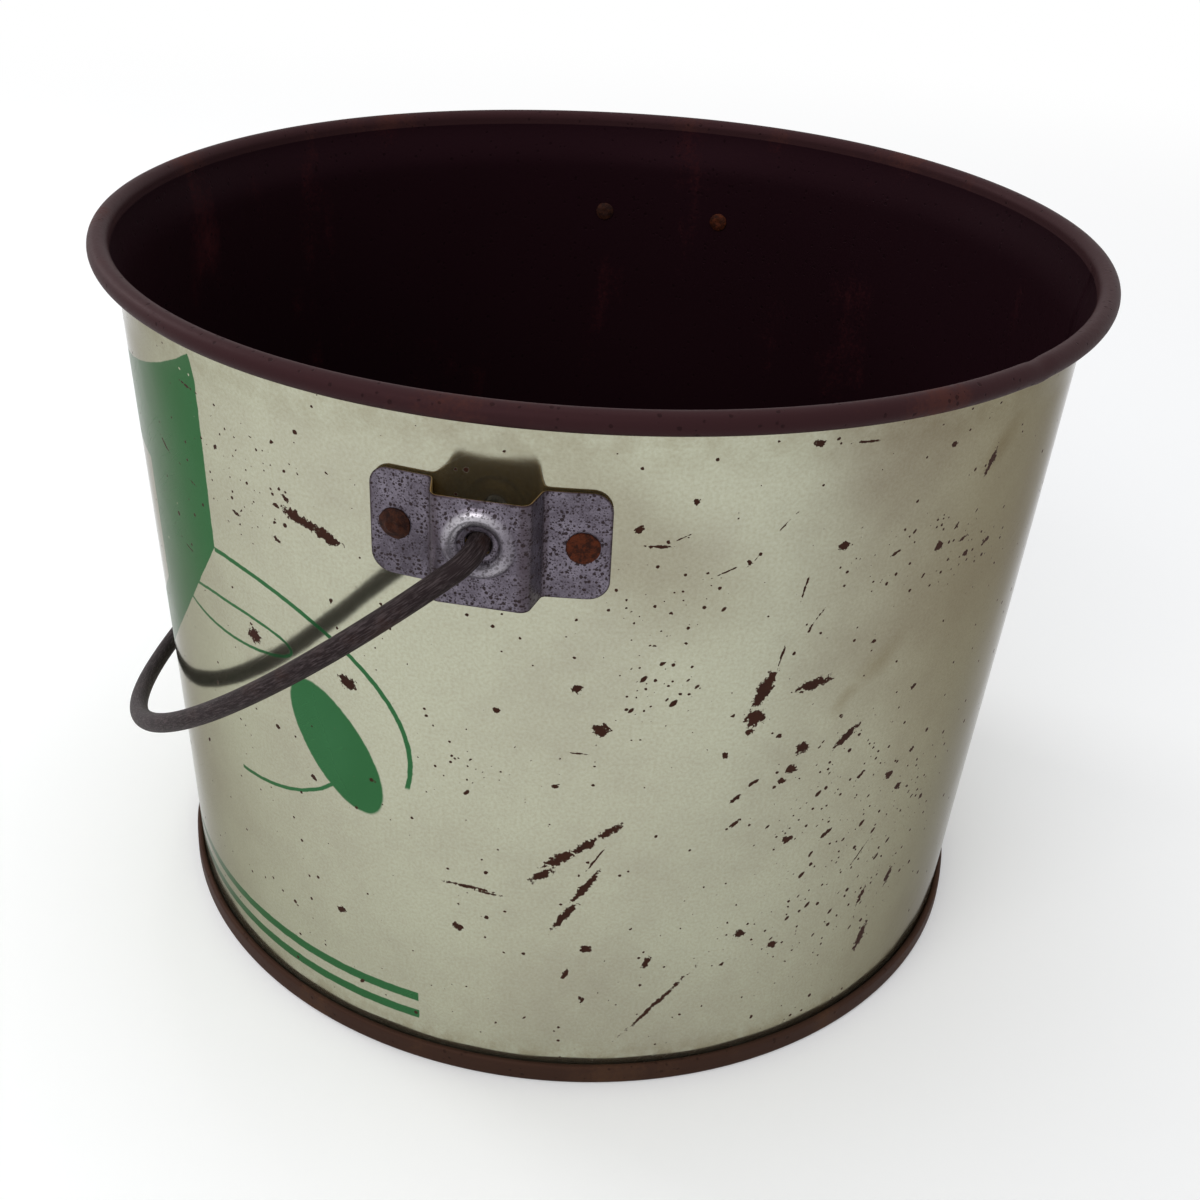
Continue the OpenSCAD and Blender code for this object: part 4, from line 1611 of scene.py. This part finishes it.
# ---------------------------------------------------------------------------------------------
# Assembly
# ---------------------------------------------------------------------------------------------


def put(piece: bpy.types.Object, body: str, slot: str, nodes: tuple[str, ...],
        *materials: bpy.types.Material) -> None:
    """Dresses a piece and hangs it on its body.

    Args:
        piece: The piece.
        body: The body that it rides on.
        slot: Its slot in the record. Not used.
        nodes: The CAD nodes that it stands for.
        materials: Its materials, in slot order.
    """
    for material in materials:
        piece.data.materials.append(material)
    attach(piece, body)
    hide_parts(*nodes)
    LOG.info("%s: %d vertices, rides on %s", piece.name, len(piece.data.vertices), body)


def pivot_height() -> float:
    """Height of the bail's pivot axis, from its joint."""
    return frame["joints"][0]["pos_m"][2]


def rest_angle() -> float:
    """How far the bail's plane hangs below level at rest, in degrees, from its CAD box.

    The wire's lowest point is where its middle line is furthest below the pivot, so the box's front and foot
    give the plane's direction once the wire's radius is taken off.
    """
    low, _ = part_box("bail")
    return math.degrees(math.atan2(pivot_height() - low.z - Bail.wire, -low.x - Bail.wire))


def main() -> None:
    """Builds the pail, piece by piece, and the studio round it."""
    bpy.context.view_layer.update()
    body_high, bottom_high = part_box("body")[1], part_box("bottom")[1]
    pivot = pivot_height()

    bottom = Bottom(skin_radius=bottom_high.x, seam_height=bottom_high.z)
    inset = 3 * (bottom.sheet + bottom.gap)
    wall = Wall(rim_radius=body_high.x, height=body_high.z, base_radius=bottom_high.x - inset)
    bail = Bail(pivot=pivot, down=rest_angle())
    ears = {side: Ear(side=side, wall=wall, height=pivot - PIVOT_LIFT, lift=PIVOT_LIFT) for side in Side}

    inside = BrownedTin("browned_inside", (0.015, 0.005, 0.0075), (0.042, 0.009, 0.010), 0.42, 0.35, 0.3)
    rim = BrownedTin("browned_rim", (0.034, 0.0142, 0.0158), (0.062, 0.0225, 0.0190), 0.50, 0.45, 0.15)
    seam = BrownedTin("browned_seam", (0.045, 0.023, 0.016), (0.075, 0.038, 0.022), 0.50, 0.5, 0.2)
    brown = RustyRivet("brown_rivet", (0.014, 0.005, 0.004), (0.046, 0.015, 0.008))
    orange = RustyRivet("orange_rivet", (0.022, 0.006, 0.003), (0.080, 0.018, 0.006))
    rivets = {End.FRONT: (Head.DIMPLED, brown.make()), End.BACK: (Head.FLAT, orange.make())}
    steel = PittedSteel().make()

    put(wall.build(), "pail", "lacquered_wall", ("body",), LacqueredTin().make(), inside.make(), rim.make())
    put(bottom.build(), "pail", "bare_bottom", ("bottom",), seam.make())
    for side, ear in ears.items():
        name = f"{side.name.lower()}_ear"
        put(ear.build(), "pail", "galvanised_ear", (name,), steel)
        for end, (head, iron) in rivets.items():
            node = f"{name}_{end.name.lower()}_rivet"
            put(Rivet(ear, end, head).build(), "pail", "rusty_rivet", (node,), iron)
    put(bail.build(), "bail", "bail_wire", ("bail",), DrawnWire().make())
    Studio().build()


if __name__ == "__main__":
    logging.basicConfig(level=logging.INFO, format="%(message)s")
    main()
